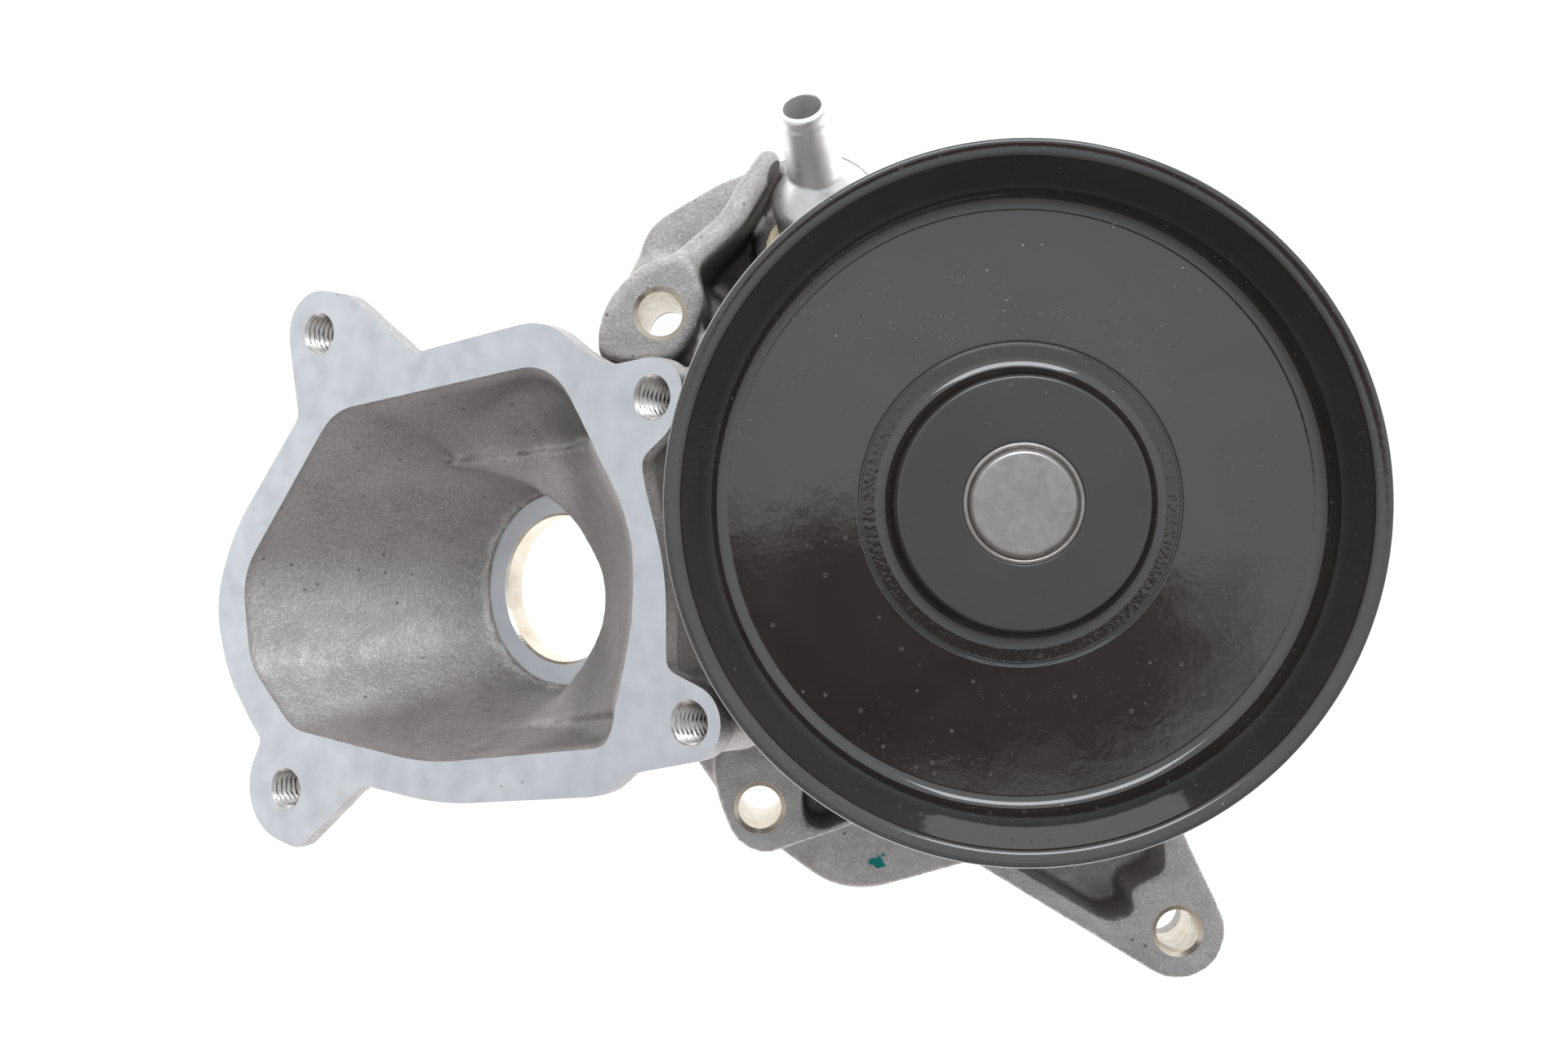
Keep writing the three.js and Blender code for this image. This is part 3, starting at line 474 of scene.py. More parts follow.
def blast(body):
    """Round every edge of the raw casting, as the mould and the shot blasting do."""
    remesh = body.modifiers.new("remesh", "REMESH")
    remesh.mode = "VOXEL"
    remesh.voxel_size = VOXEL
    smooth = body.modifiers.new("smooth", "SMOOTH")
    smooth.factor = 0.5
    smooth.iterations = CAST_SMOOTHING
    return bake(body)


# ---------------------------------------------------------------- casting, machining
def bolt_hole(boss, dowel):
    place = Matrix.Translation((boss["x"], boss["y"], 0))
    shoulder = DOWEL_LENGTH - 0.5 if dowel else 1
    mouth = DOWEL_R if dowel else BOLT_R
    top = boss["top"]
    return turned([
        (0, -9), (mouth, -9), (mouth, shoulder), (BOLT_R, shoulder), (BOLT_R, top - 9),
        (BOLT_R - 0.12, top - 8.5), (BOLT_R - 0.12, top - 0.9), (BOLT_R + 0.75, top - 0.1),
        (BOLT_R + 1.4, top + 4), (0, top + 4),
    ], FINE, place)


def bore_stack():
    low, high = BEARING_Z
    return turned([
        (0, -9), (PUMP_BORE_R + 0.8, -9), (PUMP_BORE_R + 0.8, 0), (PUMP_BORE_R, 0.8),
        (PUMP_BORE_R, PUMP_BORE_Z), (SEAL_R + FIT, PUMP_BORE_Z), (SEAL_R + FIT, SEAL_TOP),
        (16.5, SEAL_TOP), (16.5, low), (BEARING_R + FIT, low), (BEARING_R + FIT, high - 0.6),
        (BEARING_R + 0.9, high + 0.25), (BEARING_R + 0.9, high + 9), (0, high + 9),
    ])


def nozzle_holes():
    face = -NOZZLE_FACE
    bottom = circle(0, 0, face - 15, 5)
    return [
        rod(0, 0, face - 4.5, face + 4, 13.2, sides=FINE, matrix=NOZZLE),
        rod(0, 0, face, face + 30, 10.3, sides=FINE, matrix=NOZZLE),
        rod(0, 0, face - 15, face - 4, 9, sides=FINE, matrix=NOZZLE),
        hull([NOZZLE @ p for p in bottom] + circle(-23, 27, 6, 4)),
    ]


def leak_pocket():
    drain = hull(circle(4, -13, 35.5, 1.8) + circle(LEAK["x"] - 2, LEAK["y"] + 4, 19, 1.8))
    return [rod(LEAK["x"], LEAK["y"], LEAK["floor"], LEAK["top"] + 9, LEAK["r"]), drain]


def port_loop(inset, low, high):
    """A slab over both ports in the engine face, round one and oval one."""
    x, y = CHAMBER_FOOT[:2]
    r, grow = 20.6 - inset, 3 - inset
    round_port = hull(circle(x, y, low, r, FINE) + circle(x, y, high, r, FINE))
    return join(round_port, hull(ellipse(PORT, low, grow, FINE) + ellipse(PORT, high, grow, FINE)))


def gasket_band(inset, low, high):
    band = port_loop(inset, low, high)
    return cut(band, port_loop(GASKET_WIDTH - inset, low - 1, high + 1))


def tube(inner, outer, low, high):
    return turned([(inner, low), (outer, low), (outer, high), (inner, high)])


def machine(body):
    """Every cut face: flange, engine face, seat, bores, threads and grooves."""
    seat_hole = turned([
        (0, -SEAT_DEPTH - 6), (SEAT_HOLE_R, -SEAT_DEPTH - 6), (SEAT_HOLE_R, -SEAT_DEPTH - 0.5),
        (SEAT_HOLE_R + 0.5, -SEAT_DEPTH), (SEAT_HOLE_R + 0.5, -SEAT_DEPTH + 2), (0, -SEAT_DEPTH + 2),
    ], FINE, FLANGE)
    cut(body,
        rod(0, 0, 0, 60, 110, sides=FINE, matrix=FLANGE),
        rod(-50, 0, -40, 0, 200, sides=FINE),
        rod(0, 0, BEARING_Z[1], BEARING_Z[1] + 20, 30, sides=FINE),
        rod(LEAK["x"], LEAK["y"], LEAK["top"], LEAK["top"] + 9, 14),
        rod(0, 0, -SEAT_DEPTH, -SEAT_DEPTH + 12, SEAT_R + 0.25, sides=FINE, matrix=FLANGE),
        seat_hole, bore_stack(), *nozzle_holes(), *leak_pocket(),
        bolt_hole(BOSSES["a"], True), bolt_hole(BOSSES["b"], False), bolt_hole(BOSSES["c"], True),
        tube(O_RING_GROOVE[0], O_RING_GROOVE[1], -9, O_RING_GROOVE[2]),
        gasket_band(0, -9, GASKET_DEPTH))
    for (x, y), depth in zip(THREADED_HOLES, THREAD_DEPTHS):
        cut(body, tap(depth, FLANGE @ Matrix.Translation((x, y, 0))))
    return body


def machined_faces(mesh):
    """0 for a cast face, 1 for a milled one, 2 for a bored one, 3 for a thread."""
    count = len(mesh.polygons)
    centre, normal = np.zeros(count * 3), np.zeros(count * 3)
    mesh.polygons.foreach_get("center", centre)
    mesh.polygons.foreach_get("normal", normal)
    centre, normal = centre.reshape(-1, 3), normal.reshape(-1, 3)
    kind = np.zeros(count, dtype=np.int32)

    def local(matrix):
        inverse = np.array(matrix.inverted())
        return centre @ inverse[:3, :3].T + inverse[:3, 3]

    def inside(points, x, y, r, low, high):
        away = np.hypot(points[:, 0] - x, points[:, 1] - y)
        return (away < r) & (points[:, 2] > low) & (points[:, 2] < high)

    flange = local(FLANGE)
    facing = normal @ np.array(FLANGE_NORMAL)
    kind[(np.abs(flange[:, 2]) < 0.02) & (facing > 0.99)] = 1
    kind[(np.abs(flange[:, 2] + SEAT_DEPTH) < 0.02) & (facing > 0.99)] = 1
    kind[inside(flange, 0, 0, SEAT_HOLE_R + 0.55, -SEAT_DEPTH - 5.9, -SEAT_DEPTH + 0.01)] = 2
    kind[(centre[:, 2] < GASKET_DEPTH + 0.01) & (normal[:, 2] < -0.98)] = 1
    kind[inside(centre, 0, 0, PUMP_BORE_R + 0.85, 0, PUMP_BORE_Z + 0.1)] = 2
    kind[inside(centre, 0, 0, BEARING_R + 0.95, PUMP_BORE_Z, BEARING_Z[1] + 0.05)] = 2
    kind[(np.abs(centre[:, 2] - BEARING_Z[1]) < 0.02) & (normal[:, 2] > 0.99)] = 1
    for boss in BOSSES.values():
        foot = inside(centre, boss["x"], boss["y"], DOWEL_R + 0.05, 0, 12)
        kind[foot | inside(centre, boss["x"], boss["y"], BOLT_R + 0.8, 12, boss["top"] - 0.02)] = 2
    for (x, y), depth in zip(THREADED_HOLES, THREAD_DEPTHS):
        kind[inside(flange, x, y, 4.2, -depth - 2, -0.001)] = 3
    spout = local(NOZZLE)
    kind[inside(spout, 0, 0, 13.25, -NOZZLE_FACE - 4.6, -NOZZLE_FACE + 0.6)] = 2
    kind[inside(spout, 0, 0, 9.05, -NOZZLE_FACE - 15, -NOZZLE_FACE - 4)] = 2
    return kind


def finish_mesh(obj, name, body, replaced, materials, kinds=None, crease=32):
    """Scale to metres, shade, give the materials and hand the piece to the frame."""
    mesh = obj.data
    mesh.materials.clear()
    for material in materials:
        mesh.materials.append(material)
    if kinds is not None:
        mesh.polygons.foreach_set("material_index", kinds)
    mesh.transform(Matrix.Scale(MM, 4))
    mesh.shade_smooth()
    mesh.set_sharp_from_angle(angle=math.radians(crease))
    mesh.update()
    obj.name = name
    mesh.name = name
    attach(obj, body)
    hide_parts(*replaced)


# ---------------------------------------------------------------- materials
class Nodes:
    """A node tree, with short calls for the nodes that the materials and the sky are made of."""

    def __init__(self, tree, coordinates):
        self.tree = tree
        self.place = self.node("TexCoord").outputs[coordinates]

    def wire(self, value, socket):
        if isinstance(value, bpy.types.NodeSocket):
            self.tree.links.new(value, socket)
        else:
            socket.default_value = value

    def node(self, kind, inputs=None, **settings):
        made = self.tree.nodes.new("ShaderNode" + kind)
        for key, value in settings.items():
            setattr(made, key, value)
        for key, value in (inputs or {}).items():
            self.wire(value, made.inputs[key])
        return made

    def within(self, matrix):
        """Object coordinates seen from a tilted frame, in metres."""
        placed = self.node("Mapping", {"Vector": self.place}, vector_type="TEXTURE")
        placed.inputs["Location"].default_value = matrix.to_translation() * MM
        placed.inputs["Rotation"].default_value = matrix.to_euler()
        return placed.outputs["Vector"]

    def noise(self, size, detail=2, rough=0.5, distort=0):
        made = self.node("TexNoise", {
            "Vector": self.place, "Scale": 1000 / size, "Detail": detail, "Roughness": rough,
            "Distortion": distort,
        })
        return made.outputs["Fac"]

    def specks(self, spacing, radius, share):
        """1 inside scattered dots and 0 elsewhere; share is how many cells have a dot."""
        cells = self.node("TexVoronoi", {"Vector": self.place, "Scale": 1000 / spacing})
        dot = self.spread(cells.outputs["Distance"], radius * 0.7, radius * 1.3, 1, 0)
        colour = self.node("SeparateColor", {"Color": cells.outputs["Color"]})
        chosen = self.math("LESS_THAN", colour.outputs["Red"], share)
        return self.math("MULTIPLY", dot, chosen)

    def rings(self, pitch, at=None, kind="RINGS", distort=1.0):
        axis = "rings_direction" if kind == "RINGS" else "bands_direction"
        made = self.node("TexWave", {
            "Vector": at or self.place, "Scale": 314 / pitch, "Distortion": distort, "Detail": 2,
            "Detail Scale": 2,
        }, wave_type=kind, wave_profile="SIN", **{axis: "Z"})
        return made.outputs["Fac"]

    def math(self, operation, a, b=0.0):
        made = self.node("Math", operation=operation)
        self.wire(a, made.inputs[0])
        self.wire(b, made.inputs[1])
        return made.outputs["Value"]

    def spread(self, value, low, high, to_low, to_high):
        made = self.node("MapRange", {
            "Value": value, "From Min": low, "From Max": high, "To Min": to_low, "To Max": to_high,
        })
        return made.outputs["Result"]

    def ramp(self, value, *stops):
        made = self.node("ValToRGB", {"Fac": value})
        elements = made.color_ramp.elements
        while len(elements) < len(stops):
            elements.new(0.5)
        for element, (position, colour) in zip(elements, stops):
            element.position = position
            element.color = (*colour, 1)
        return made.outputs["Color"]

    def blend(self, mask, base, over):
        made = self.node("Mix", data_type="RGBA")
        self.wire(mask, made.inputs[0])
        self.wire(base if isinstance(base, bpy.types.NodeSocket) else (*base, 1), made.inputs[6])
        self.wire(over if isinstance(over, bpy.types.NodeSocket) else (*over, 1), made.inputs[7])
        return made.outputs[2]

    def bump(self, height, depth, under=None):
        """Raise the surface by height times depth millimetres, on top of another bump."""
        made = self.node("Bump", {"Height": height, "Strength": 1, "Distance": depth * MM})
        if under is not None:
            self.wire(under, made.inputs["Normal"])
        return made.outputs["Normal"]


class Surface(Nodes):
    """One procedural material: a Principled shader with nodes wired into it."""

    def __init__(self, name, **sockets):
        self.material = bpy.data.materials.new(name)
        self.material.use_nodes = True
        super().__init__(self.material.node_tree, "Object")
        self.shader = self.tree.nodes["Principled BSDF"]
        self.set(**sockets)

    def set(self, **sockets):
        for key, value in sockets.items():
            self.wire(value, self.shader.inputs[key.replace("_", " ")])
        return self

    def near(self, point, radius, ragged):
        """1 within a ragged blob round a point, in millimetres, and 0 outside it."""
        away = self.node("VectorMath", operation="DISTANCE")
        self.wire(self.place, away.inputs[0])
        away.inputs[1].default_value = Vector(point) * MM
        wobble = self.spread(self.noise(1.5, 3), 0.3, 0.7, -ragged * MM, ragged * MM)
        distance = self.math("ADD", away.outputs["Value"], wobble)
        return self.spread(distance, (radius - 0.2) * MM, (radius + 0.2) * MM, 1, 0)


def cast_material():
    s = Surface("cast aluminium", Metallic=0.8)
    mottle = s.noise(14, 4, 0.6)
    grain = s.noise(0.6, 3, 0.7)
    base = s.ramp(mottle, (0.32, (0.35, 0.328, 0.318)), (0.68, (0.47, 0.442, 0.43)))
    base = s.blend(s.spread(grain, 0.45, 0.72, 0, 0.6), base, (0.70, 0.675, 0.66))
    base = s.blend(s.specks(2.6, 0.13, 0.22), base, (0.2, 0.185, 0.175))
    # painted shade: inside the chamber the base colour is darkened on the hood and in the corner towards
    # +Y above it, standing in for the shade that the chamber's walls cast there
    spot = s.node("SeparateXYZ", {"Vector": s.within(FLANGE)}).outputs
    facing = s.node("SeparateXYZ", {"Vector": s.node("NewGeometry").outputs["Normal"]}).outputs
    below_lip = s.spread(spot["Z"], -0.004, -0.001, 1, 0)
    hood = s.spread(spot["X"], 0.019, 0.028, 0, 0.5)
    hood = s.math("MULTIPLY", hood, s.spread(facing["X"], -0.15, 0.05, 1, 0))
    hood = s.math("MULTIPLY", hood, s.spread(s.math("ABSOLUTE", spot["Y"]), 0.031, 0.036, 1, 0))
    hood = s.math("MULTIPLY", hood, s.spread(spot["X"], 0.052, 0.053, 1, 0))
    base = s.blend(s.math("MULTIPLY", hood, below_lip), base, (0.12, 0.112, 0.11))
    # painted shade: the corner towards +Y above the hood, where the steep wall lies in shade, is
    # darkened further
    corner = s.spread(spot["X"], -0.01, 0.028, 0, 0.8)
    corner = s.math("MULTIPLY", corner, s.spread(spot["Y"], 0.023, 0.031, 0, 1))
    corner = s.math("MULTIPLY", corner, s.spread(facing["Y"], -0.2, 0.05, 1, 0))
    base = s.blend(s.math("MULTIPLY", corner, below_lip), base, (0.07, 0.062, 0.06))
    base = s.blend(s.near((-21.7, -73.4, 14.5), 1.5, 0.9), base, (0.01, 0.2, 0.2))
    rough = s.spread(s.noise(3, 3), 0.3, 0.7, 0.46, 0.62)
    normal = s.bump(s.noise(1.7, 2), 0.1)
    normal = s.bump(grain, 0.12, normal)
    return s.set(Base_Color=base, Roughness=rough, Normal=normal).material


def milled_material():
    s = Surface("milled aluminium", Metallic=1.0)
    sweep = tilt_frame(FLANGE_CENTRE + Vector((30, -95, 0)), FLANGE_NORMAL)
    arcs = s.rings(0.9, s.within(sweep), distort=0.6)
    stain = s.noise(11, 3, 0.6)
    base = s.ramp(stain, (0.3, (0.70, 0.735, 0.78)), (0.7, (0.79, 0.82, 0.85)))
    base = s.blend(s.specks(5, 0.05, 0.25), base, (0.4, 0.4, 0.4))
    rough = s.spread(s.noise(4, 3), 0.3, 0.7, 0.3, 0.42)
    normal = s.bump(arcs, 0.0012, s.bump(s.noise(0.8, 2), 0.003))
    return s.set(Base_Color=base, Roughness=rough, Normal=normal).material


def bored_material():
    s = Surface("bored aluminium", Metallic=1.0)
    feed = s.rings(0.35, kind="BANDS", distort=0.8)
    base = s.ramp(s.noise(5, 3), (0.3, (0.74, 0.66, 0.52)), (0.7, (0.86, 0.81, 0.71)))
    rough = s.spread(s.noise(2, 3), 0.3, 0.7, 0.2, 0.34)
    return s.set(Base_Color=base, Roughness=rough, Normal=s.bump(feed, 0.006)).material


def threaded_material():
    s = Surface("tapped aluminium", Metallic=1.0)
    base = s.ramp(s.noise(1.3, 3), (0.3, (0.50, 0.47, 0.44)), (0.7, (0.66, 0.64, 0.61)))
    rough = s.spread(s.noise(0.8, 2), 0.3, 0.7, 0.26, 0.42)
    return s.set(Base_Color=base, Roughness=rough, Normal=s.bump(s.noise(0.3), 0.01)).material


def paint_material(name, rough_low, rough_high, coat, dusty, grain=0.003, coat_rough=0.04):
    s = Surface(name, Coat_Weight=coat, Coat_Roughness=coat_rough, Coat_IOR=1.85, Specular_IOR_Level=0.1)
    film = s.noise(26, 4, 0.55, distort=0.6)
    dust = s.math("MULTIPLY", s.specks(1.1, 0.16, 0.6), s.spread(s.noise(19, 3), 0.42, 0.62, 0, dusty))
    lint = s.specks(6.5, 0.035, 0.4)
    base = s.ramp(film, (0.35, (0.013, 0.0095, 0.0085)), (0.7, (0.025, 0.0185, 0.0175)))
    base = s.blend(dust, base, (0.13, 0.13, 0.135))
    base = s.blend(lint, base, (0.16, 0.155, 0.145))
    rough = s.spread(film, 0.35, 0.7, rough_low, rough_high)
    peel = s.bump(s.noise(3.4, 2), 0.012, s.bump(s.noise(0.9, 2), grain))
    pits = s.bump(s.specks(3.1, 0.1, 0.35), -0.04, peel)
    return s.set(Base_Color=base, Roughness=rough, Normal=pits, Coat_Normal=pits).material


def steel_material(name, base_low, base_high, rough_low, rough_high, pitch=0.32):
    s = Surface(name, Metallic=1.0)
    marks = s.rings(pitch, distort=1.2)
    base = s.ramp(s.noise(2.2, 4, 0.6), (0.3, base_low), (0.7, base_high))
    rough = s.spread(s.noise(1.4, 3), 0.3, 0.7, rough_low, rough_high)
    normal = s.bump(marks, 0.008, s.bump(s.noise(0.5), 0.004))
    return s.set(Base_Color=base, Roughness=rough, Normal=normal).material


def nozzle_material():
    s = Surface("turned aluminium", Metallic=0.75)
    feed = s.rings(0.4, s.within(NOZZLE), "BANDS", 0.4)
    base = s.ramp(s.noise(4, 3), (0.3, (0.82, 0.81, 0.79)), (0.7, (0.94, 0.93, 0.91)))
    rough = s.spread(s.noise(1.5, 2), 0.3, 0.7, 0.3, 0.45)
    return s.set(Base_Color=base, Roughness=rough, Normal=s.bump(feed, 0.004)).material


def moulded_material(name, low, high, rough_low, rough_high, grain=0.7, depth=0.03):
    s = Surface(name)
    base = s.ramp(s.noise(6, 4, 0.6), (0.3, low), (0.7, high))
    rough = s.spread(s.noise(2, 3), 0.3, 0.7, rough_low, rough_high)
    return s.set(Base_Color=base, Roughness=rough, Normal=s.bump(s.noise(grain, 3), depth)).material


CAST_METAL = cast_material()
MILLED = milled_material()
BORED = bored_material()
THREADED = threaded_material()
PEELED_PAINT = paint_material("coarse black paint", 0.24, 0.34, 0.8, 0.4, 0.035)
PAINT = paint_material("black paint", 0.14, 0.26, 1.0, 0.6)
SATIN_PAINT = paint_material("satin black paint", 0.34, 0.44, 0.8, 0.1, 0.003, 0.3)
TURNED = nozzle_material()
STEEL = steel_material("ground steel", (0.31, 0.29, 0.275), (0.40, 0.38, 0.36), 0.26, 0.38)
POLISHED = steel_material("polished steel", (0.60, 0.60, 0.60), (0.70, 0.70, 0.70), 0.08, 0.14, 0.8)
BRASS = steel_material("pressed brass", (0.60, 0.44, 0.2), (0.70, 0.53, 0.26), 0.24, 0.36)
RUBBER = moulded_material("rubber", (0.012, 0.012, 0.012), (0.024, 0.024, 0.025), 0.5, 0.68)
POLYAMIDE = moulded_material("cage polyamide", (0.24, 0.19, 0.11), (0.34, 0.27, 0.16), 0.38, 0.52)
CARBON = moulded_material("carbon graphite", (0.02, 0.02, 0.022), (0.035, 0.035, 0.038),
                          0.3, 0.42, 0.4, 0.01)
CERAMIC = moulded_material("silicon carbide", (0.13, 0.135, 0.15), (0.19, 0.195, 0.21),
                           0.12, 0.2, 0.4, 0.004)
PLASTIC = moulded_material("impeller plastic", (0.018, 0.016, 0.014), (0.04, 0.036, 0.031), 0.34, 0.5)


# ---------------------------------------------------------------- pieces on the housing
def housing():
    body = machine(blast(raw_casting()))
    kinds = machined_faces(body.data)
    finish_mesh(body, "housing_casting", "housing", ["pump_housing"],
                [CAST_METAL, MILLED, BORED, THREADED], kinds, 30)


def hose_nozzle():
    face = -NOZZLE_FACE
    shape = turned([
        (3.7, 0, 0.3), (4.65, 0, 0.2), (5.05, -0.5, 0.3), (5.05, -2.2, 0.3), (5.2, -2.8, 0.3),
        (5.45, -15.7, 0.6), (9.6, -21, 0.5), (10, -22, 0.4), (10, -25.4, 0.2), (9.2, -25.8, 0.1),
        (9.2, -26.8, 0.1),
        (9.9, -27.2, 0.1), (9.9, -28.4, 0.2), (8.6, -28.8, 0.1), (8.6, -30, 0.1), (9.9, -30.4, 0.1),
        (9.9, face + 2.2), (9.9, face - 4.3), (8.9, face - 4.4), (8.9, face - 7),
        (7.4, face - 7.2), (7.4, face - 9.6), (8.9, face - 9.8), (8.9, face - 13.4), (8.3, face - 14),
        (3.7, face - 14),
    ], FINE, NOZZLE)
    finish_mesh(shape, "hose_nozzle", "housing", ["hose_nozzle"], [TURNED])
    seal = o_ring(8.2, 0.7, NOZZLE @ Matrix.Translation((0, 0, face - 8.4)))
    finish_mesh(seal, "nozzle_seal", "housing", ["nozzle_o_ring"], [RUBBER])


def o_ring(radius, section, matrix):
    """A ring of round section: radius to its middle, and section the radius of its cross-section."""
    profile = [(radius + p.x, p.y) for p in circle(0, 0, 0, section, 16)]
    return turned(profile, FINE, matrix)


def rear_seals():
    middle = (O_RING_GROOVE[0] + O_RING_GROOVE[1]) / 2
    ring = o_ring(middle, 1.15, Matrix.Translation((0, 0, 1.35)))
    finish_mesh(ring, "rear_seal_ring", "housing", ["rear_o_ring"], [RUBBER])
    band = gasket_band(0.25, 0.2, GASKET_DEPTH - 0.2)
    finish_mesh(band, "port_gasket", "housing", ["port_gasket"], [RUBBER])


def dowels():
    for key in "ac":
        place = Matrix.Translation((BOSSES[key]["x"], BOSSES[key]["y"], 0))
        outer = DOWEL_R - FIT
        sleeve = turned([
            (4.9, 0.5), (outer - 0.4, 0.5, 0.2), (outer, 0.9, 0.2), (outer, DOWEL_LENGTH - 0.6),
            (4.9, DOWEL_LENGTH - 0.6),
        ], 64, place)
        finish_mesh(sleeve, f"sleeve_{key}", "housing", [f"dowel_sleeve_{key}"], [STEEL])


def leak_cap():
    place = Matrix.Translation((LEAK["x"], LEAK["y"], 0))
    outer, top = LEAK["r"] - FIT, LEAK["top"]
    cap = turned([
        (0, top - 1.4), (outer - 1.8, top - 1.4, 0.4), (outer - 1, top - 4.5), (outer, top - 4.5),
        (outer, top - 0.6, 0.4), (outer - 0.8, top - 0.4, 0.3), (0, top - 0.4),
    ], 64, place)
    finish_mesh(cap, "leak_chamber_cap", "housing", ["leak_chamber_cap"], [STEEL])


def ball_groove(side, angles):
    """The groove that the balls run in, on the race (side 1) or on the shaft (side -1)."""
    return [(PITCH_R + side * BALL_GROOVE_R * math.cos(a), BALL_Z + BALL_GROOVE_R * math.sin(a))
            for a in angles]


def bearing_race():
    low, high = BEARING_Z
    inner = 15.3
    track = PITCH_R + ROLLER_R + 0.11
    race = turned([
        (inner, low + FIT), (BEARING_R - 0.6, low + FIT), (BEARING_R, low + 0.6),
        (BEARING_R, high - 0.6), (BEARING_R - 0.6, high), (inner, high), (inner, ROLLER_Z + 7),
        (track, ROLLER_Z + 6.5), (track, ROLLER_Z - 6.5), (inner, ROLLER_Z - 7),
        *ball_groove(1, (0.43, 0.22, 0, -0.22, -0.43)),
    ], FINE)
    finish_mesh(race, "bearing_race", "housing", ["bearing_outer_race"], [STEEL])


# ---------------------------------------------------------------- pieces on the rotor
def pulley():
    low, high = PULLEY_Z
    start = (low + high) / 2 - GROOVE_COUNT * GROOVE_PITCH / 2
    crest = PULLEY_R - 0.3
    ribs = []
    for i in range(GROOVE_COUNT):
        z = start + i * GROOVE_PITCH
        ribs += [(crest, z + 0.25, 0.25), (crest - GROOVE_DEPTH, z + GROOVE_PITCH / 2, 0.3)]
    top = start + GROOVE_COUNT * GROOVE_PITCH
    web_low, web_high = WEB_Z
    pilot = PILOT_R + FIT
    shape = turned([
        (PULLEY_R, low, 0.4), (PULLEY_R, start - 0.3, 0.3), *ribs, (PULLEY_R, top + 0.3, 0.3),
        (PULLEY_R, high - 0.5, 0.4), (PULLEY_R - 0.5, high, 0.5), (58.6, high - 0.3, 0.9),
        (55.1, 92.6, 3), (52.3, web_high, 1.4), (28.3, web_high, 0.15), (28.15, web_high - 0.2, 0.1),
        (27.85, web_high - 0.2, 0.1), (27.7, web_high, 0.15), (23, web_high, 2.6), (21.9, HUB_FACE, 0.5),
        (pilot, HUB_FACE, 0.3), (pilot, HUB_FACE - 3, 0.2), (19, HUB_FACE - 3, 0.5),
        (20.4, web_low, 2), (52.4, web_low, 2), (55.2, low, 1),
    ], 288)
    kinds = []                  # 0 glossy, 1 satin on the hub's face, 2 coarse on the ring round it
    for face in shape.data.polygons:
        away = face.center.xy.length
        on_hub = face.center.z > HUB_FACE - 0.05 and away < 21.95
        kinds.append(1 if on_hub else 2 if abs(face.center.z - web_high) < 0.05 and away < 27.7 else 0)
    finish_mesh(shape, "pulley", "rotor", ["pulley"], [PAINT, SATIN_PAINT, PEELED_PAINT],
                kinds, 40)


def rotor():
    shaft = turned([
        (0, 0), (7.2, 0), (8, 0.8), (8, 34), (SHAFT_R, 34.8),
        *ball_groove(-1, (-0.5, -0.25, 0, 0.25, 0.5)),
        (SHAFT_R, SHAFT_TOP - 0.7, 0.2), (SHAFT_R - 0.7, SHAFT_TOP, 0.4), (0, SHAFT_TOP),
    ], FINE)
    finish_mesh(shaft, "shaft", "rotor", ["pump_shaft"], [STEEL])
    seat = HUB_FACE - 3 - FIT
    hub = turned([
        (SHAFT_R + FIT, 77), (14.4, 77, 0.3), (15, 77.6, 0.3), (15, 84, 1), (18.4, 86.5, 0.5),
        (18.4, seat), (PILOT_R, seat), (PILOT_R, HUB_FACE - 0.2), (SHAFT_R + 0.5, HUB_FACE + 0.1, 0.2),
        (SHAFT_R + FIT, HUB_FACE - 0.3),
    ], FINE)
    finish_mesh(hub, "pulley_hub", "rotor", ["pulley_hub"], [STEEL])
    bush = tube(8 + FIT, 10.55, 3, 11.9)
    finish_mesh(bush, "impeller_bush", "rotor", ["impeller_bush"], [BRASS])


def vane(turn):
    """One swept-back impeller vane; its outer edge is cut on a slant."""
    steps = 14
    front, back = [], []
    for i in range(steps + 1):
        t = i / steps
        for side, start, middle, end in ((front, (12, -1.3), (25, -1.5), (32, -13)),
                                         (back, (12, 1.3), (25, 1.3), (32.6, -10.6))):
            side.append(bend(Vector(start), Vector(middle), Vector(end), t))
    return extruded(front + back[::-1], 2.2, 11, Matrix.Rotation(turn, 4, "Z"))


def impeller():
    low, high, outer = 2.2, 12, 33.5
    disc = turned([
        (10.6, low + 0.8), (14, low + 0.8, 0.4), (15.5, high - 3.4, 1), (outer, high - 2.4, 0.4),
        (outer, high - 0.4, 0.4), (15, high, 0.5), (10.6, high),
    ], FINE)
    join(disc, *[vane(2 * math.pi * i / VANE_COUNT) for i in range(VANE_COUNT)])
    finish_mesh(disc, "impeller", "rotor", ["impeller"], [PLASTIC])


# ---------------------------------------------------------------- CAD pieces that keep their shape
def repaint():
    """Give the bearing and seal pieces of the frame their finishes."""
    finishes = {
        "bearing_seal": RUBBER, "seal_cup": BRASS, "seal_bellows": RUBBER, "seal_spring": POLISHED,
        "seal_carbon_ring": CARBON, "slinger": RUBBER, "seal_mating_ring": CERAMIC, "seal_boot": RUBBER,
        "ball_cage": POLYAMIDE, "roller_cage": POLYAMIDE, "bearing_ball": POLISHED,
        "bearing_roller": POLISHED,
    }
    for name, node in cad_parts.items():
        finish = next((m for start, m in finishes.items() if name.startswith(start)), None)
        if finish:
            for material_slot in node.material_slots:
                material_slot.material = finish


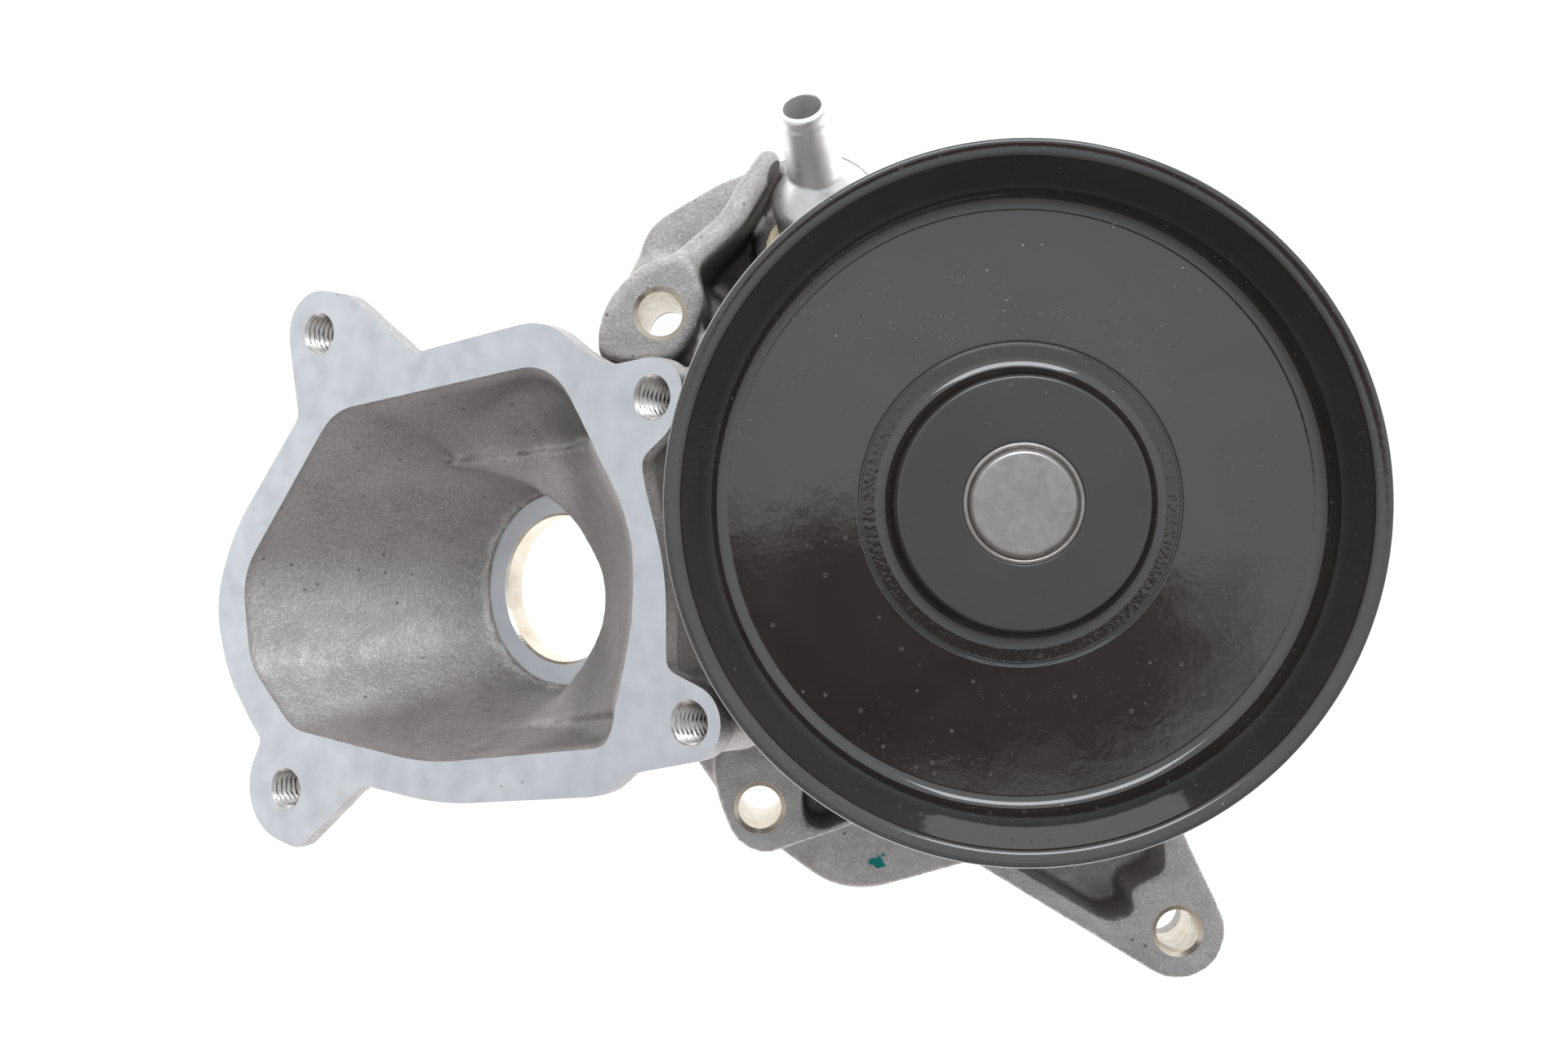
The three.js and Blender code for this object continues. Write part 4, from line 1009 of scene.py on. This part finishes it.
# ---------------------------------------------------------------- light, floor and camera
def tent():
    """A big pale tent, brighter towards +Y, with a darker patch overhead where the camera hangs."""
    world = bpy.data.worlds.new("studio")
    bpy.context.scene.world = world
    world.use_nodes = True
    sky = Nodes(world.node_tree, "Generated")
    way = sky.node("SeparateXYZ", {"Vector": sky.place}).outputs
    up = sky.math("MAXIMUM", way["Z"], 0.05)
    east, north = sky.math("DIVIDE", way["X"], up), sky.math("DIVIDE", way["Y"], up)
    cloud = sky.node("TexNoise", {"Vector": sky.place, "Scale": 26})
    wobble = sky.spread(cloud.outputs["Fac"], 0, 1, -0.5, 0.5)
    across, along = (sky.math("MULTIPLY", sky.math("SUBTRACT", slope, centre), 1 / radius)
                     for slope, centre, radius in zip((east, north), PATCH_CENTRE, PATCH_RADII))
    reach = sky.math("ADD", sky.math("MULTIPLY", across, across), sky.math("MULTIPLY", along, along))
    patch = sky.spread(sky.math("ADD", sky.math("SQRT", reach), wobble), 0.8, 1.25, 0.16, 1)
    side = sky.spread(way["Y"], -1, 1, 0.55, 1.25)
    side = sky.math("MULTIPLY", side, sky.spread(way["X"], -1, 0, 0.86, 1))
    height = sky.spread(way["Z"], 0.1, 0.9, 0.75, 1.05)
    level = sky.math("MULTIPLY", sky.math("MULTIPLY", patch, side), height)
    tint = sky.ramp(level, (0.2, (0.95, 0.82, 0.78)), (0.75, (0.93, 0.96, 1.0)))
    background = sky.tree.nodes["Background"]
    sky.wire(tint, background.inputs["Color"])
    sky.wire(level, background.inputs["Strength"])


def paper_floor():
    """White paper under the engine face, lit from itself as well, so that it stays near white."""
    z = -FLOOR_DROP * MM
    floor = bpy.data.meshes.new("floor")
    floor.from_pydata([(-3, -3, z), (3, -3, z), (3, 3, z), (-3, 3, z)], [], [(0, 1, 2, 3)])
    floor_object = bpy.data.objects.new("floor", floor)
    bpy.context.scene.collection.objects.link(floor_object)
    paper = Surface("paper", Roughness=0.9, Emission_Strength=1.0)
    fibre = paper.ramp(paper.noise(40, 3), (0.3, (0.90, 0.90, 0.90)), (0.7, (0.93, 0.93, 0.93)))
    paper.set(Base_Color=fibre, Emission_Color=fibre)
    floor.materials.append(paper.material)


def softbox():
    light = bpy.data.lights.new("top softbox", "AREA")
    light.shape = "RECTANGLE"
    light.size, light.size_y = 0.7, 0.5
    light.energy = 4.5
    light.color = (0.95, 0.97, 1)
    lamp = bpy.data.objects.new("top softbox", light)
    lamp.location = (0.02, 0.75, 0.9)
    aim = Vector((0, 0, 0.05)) - lamp.location
    lamp.rotation_euler = aim.to_track_quat("-Z", "Y").to_euler()
    bpy.context.scene.collection.objects.link(lamp)


def overhead_camera():
    camera = bpy.data.cameras.new("camera")
    camera.sensor_width = 36
    camera.lens = 50.625
    camera.clip_start = 0.01
    eye = bpy.data.objects.new("camera", camera)
    eye.location = (-0.0411, -0.0033, 0.472)
    bpy.context.scene.collection.objects.link(eye)
    bpy.context.scene.camera = eye


housing()
hose_nozzle()
rear_seals()
dowels()
leak_cap()
bearing_race()
pulley()
rotor()
impeller()
repaint()
bpy.context.scene.view_settings.view_transform = "Standard"
tent()
paper_floor()
softbox()
overhead_camera()
bpy.context.view_layer.update()
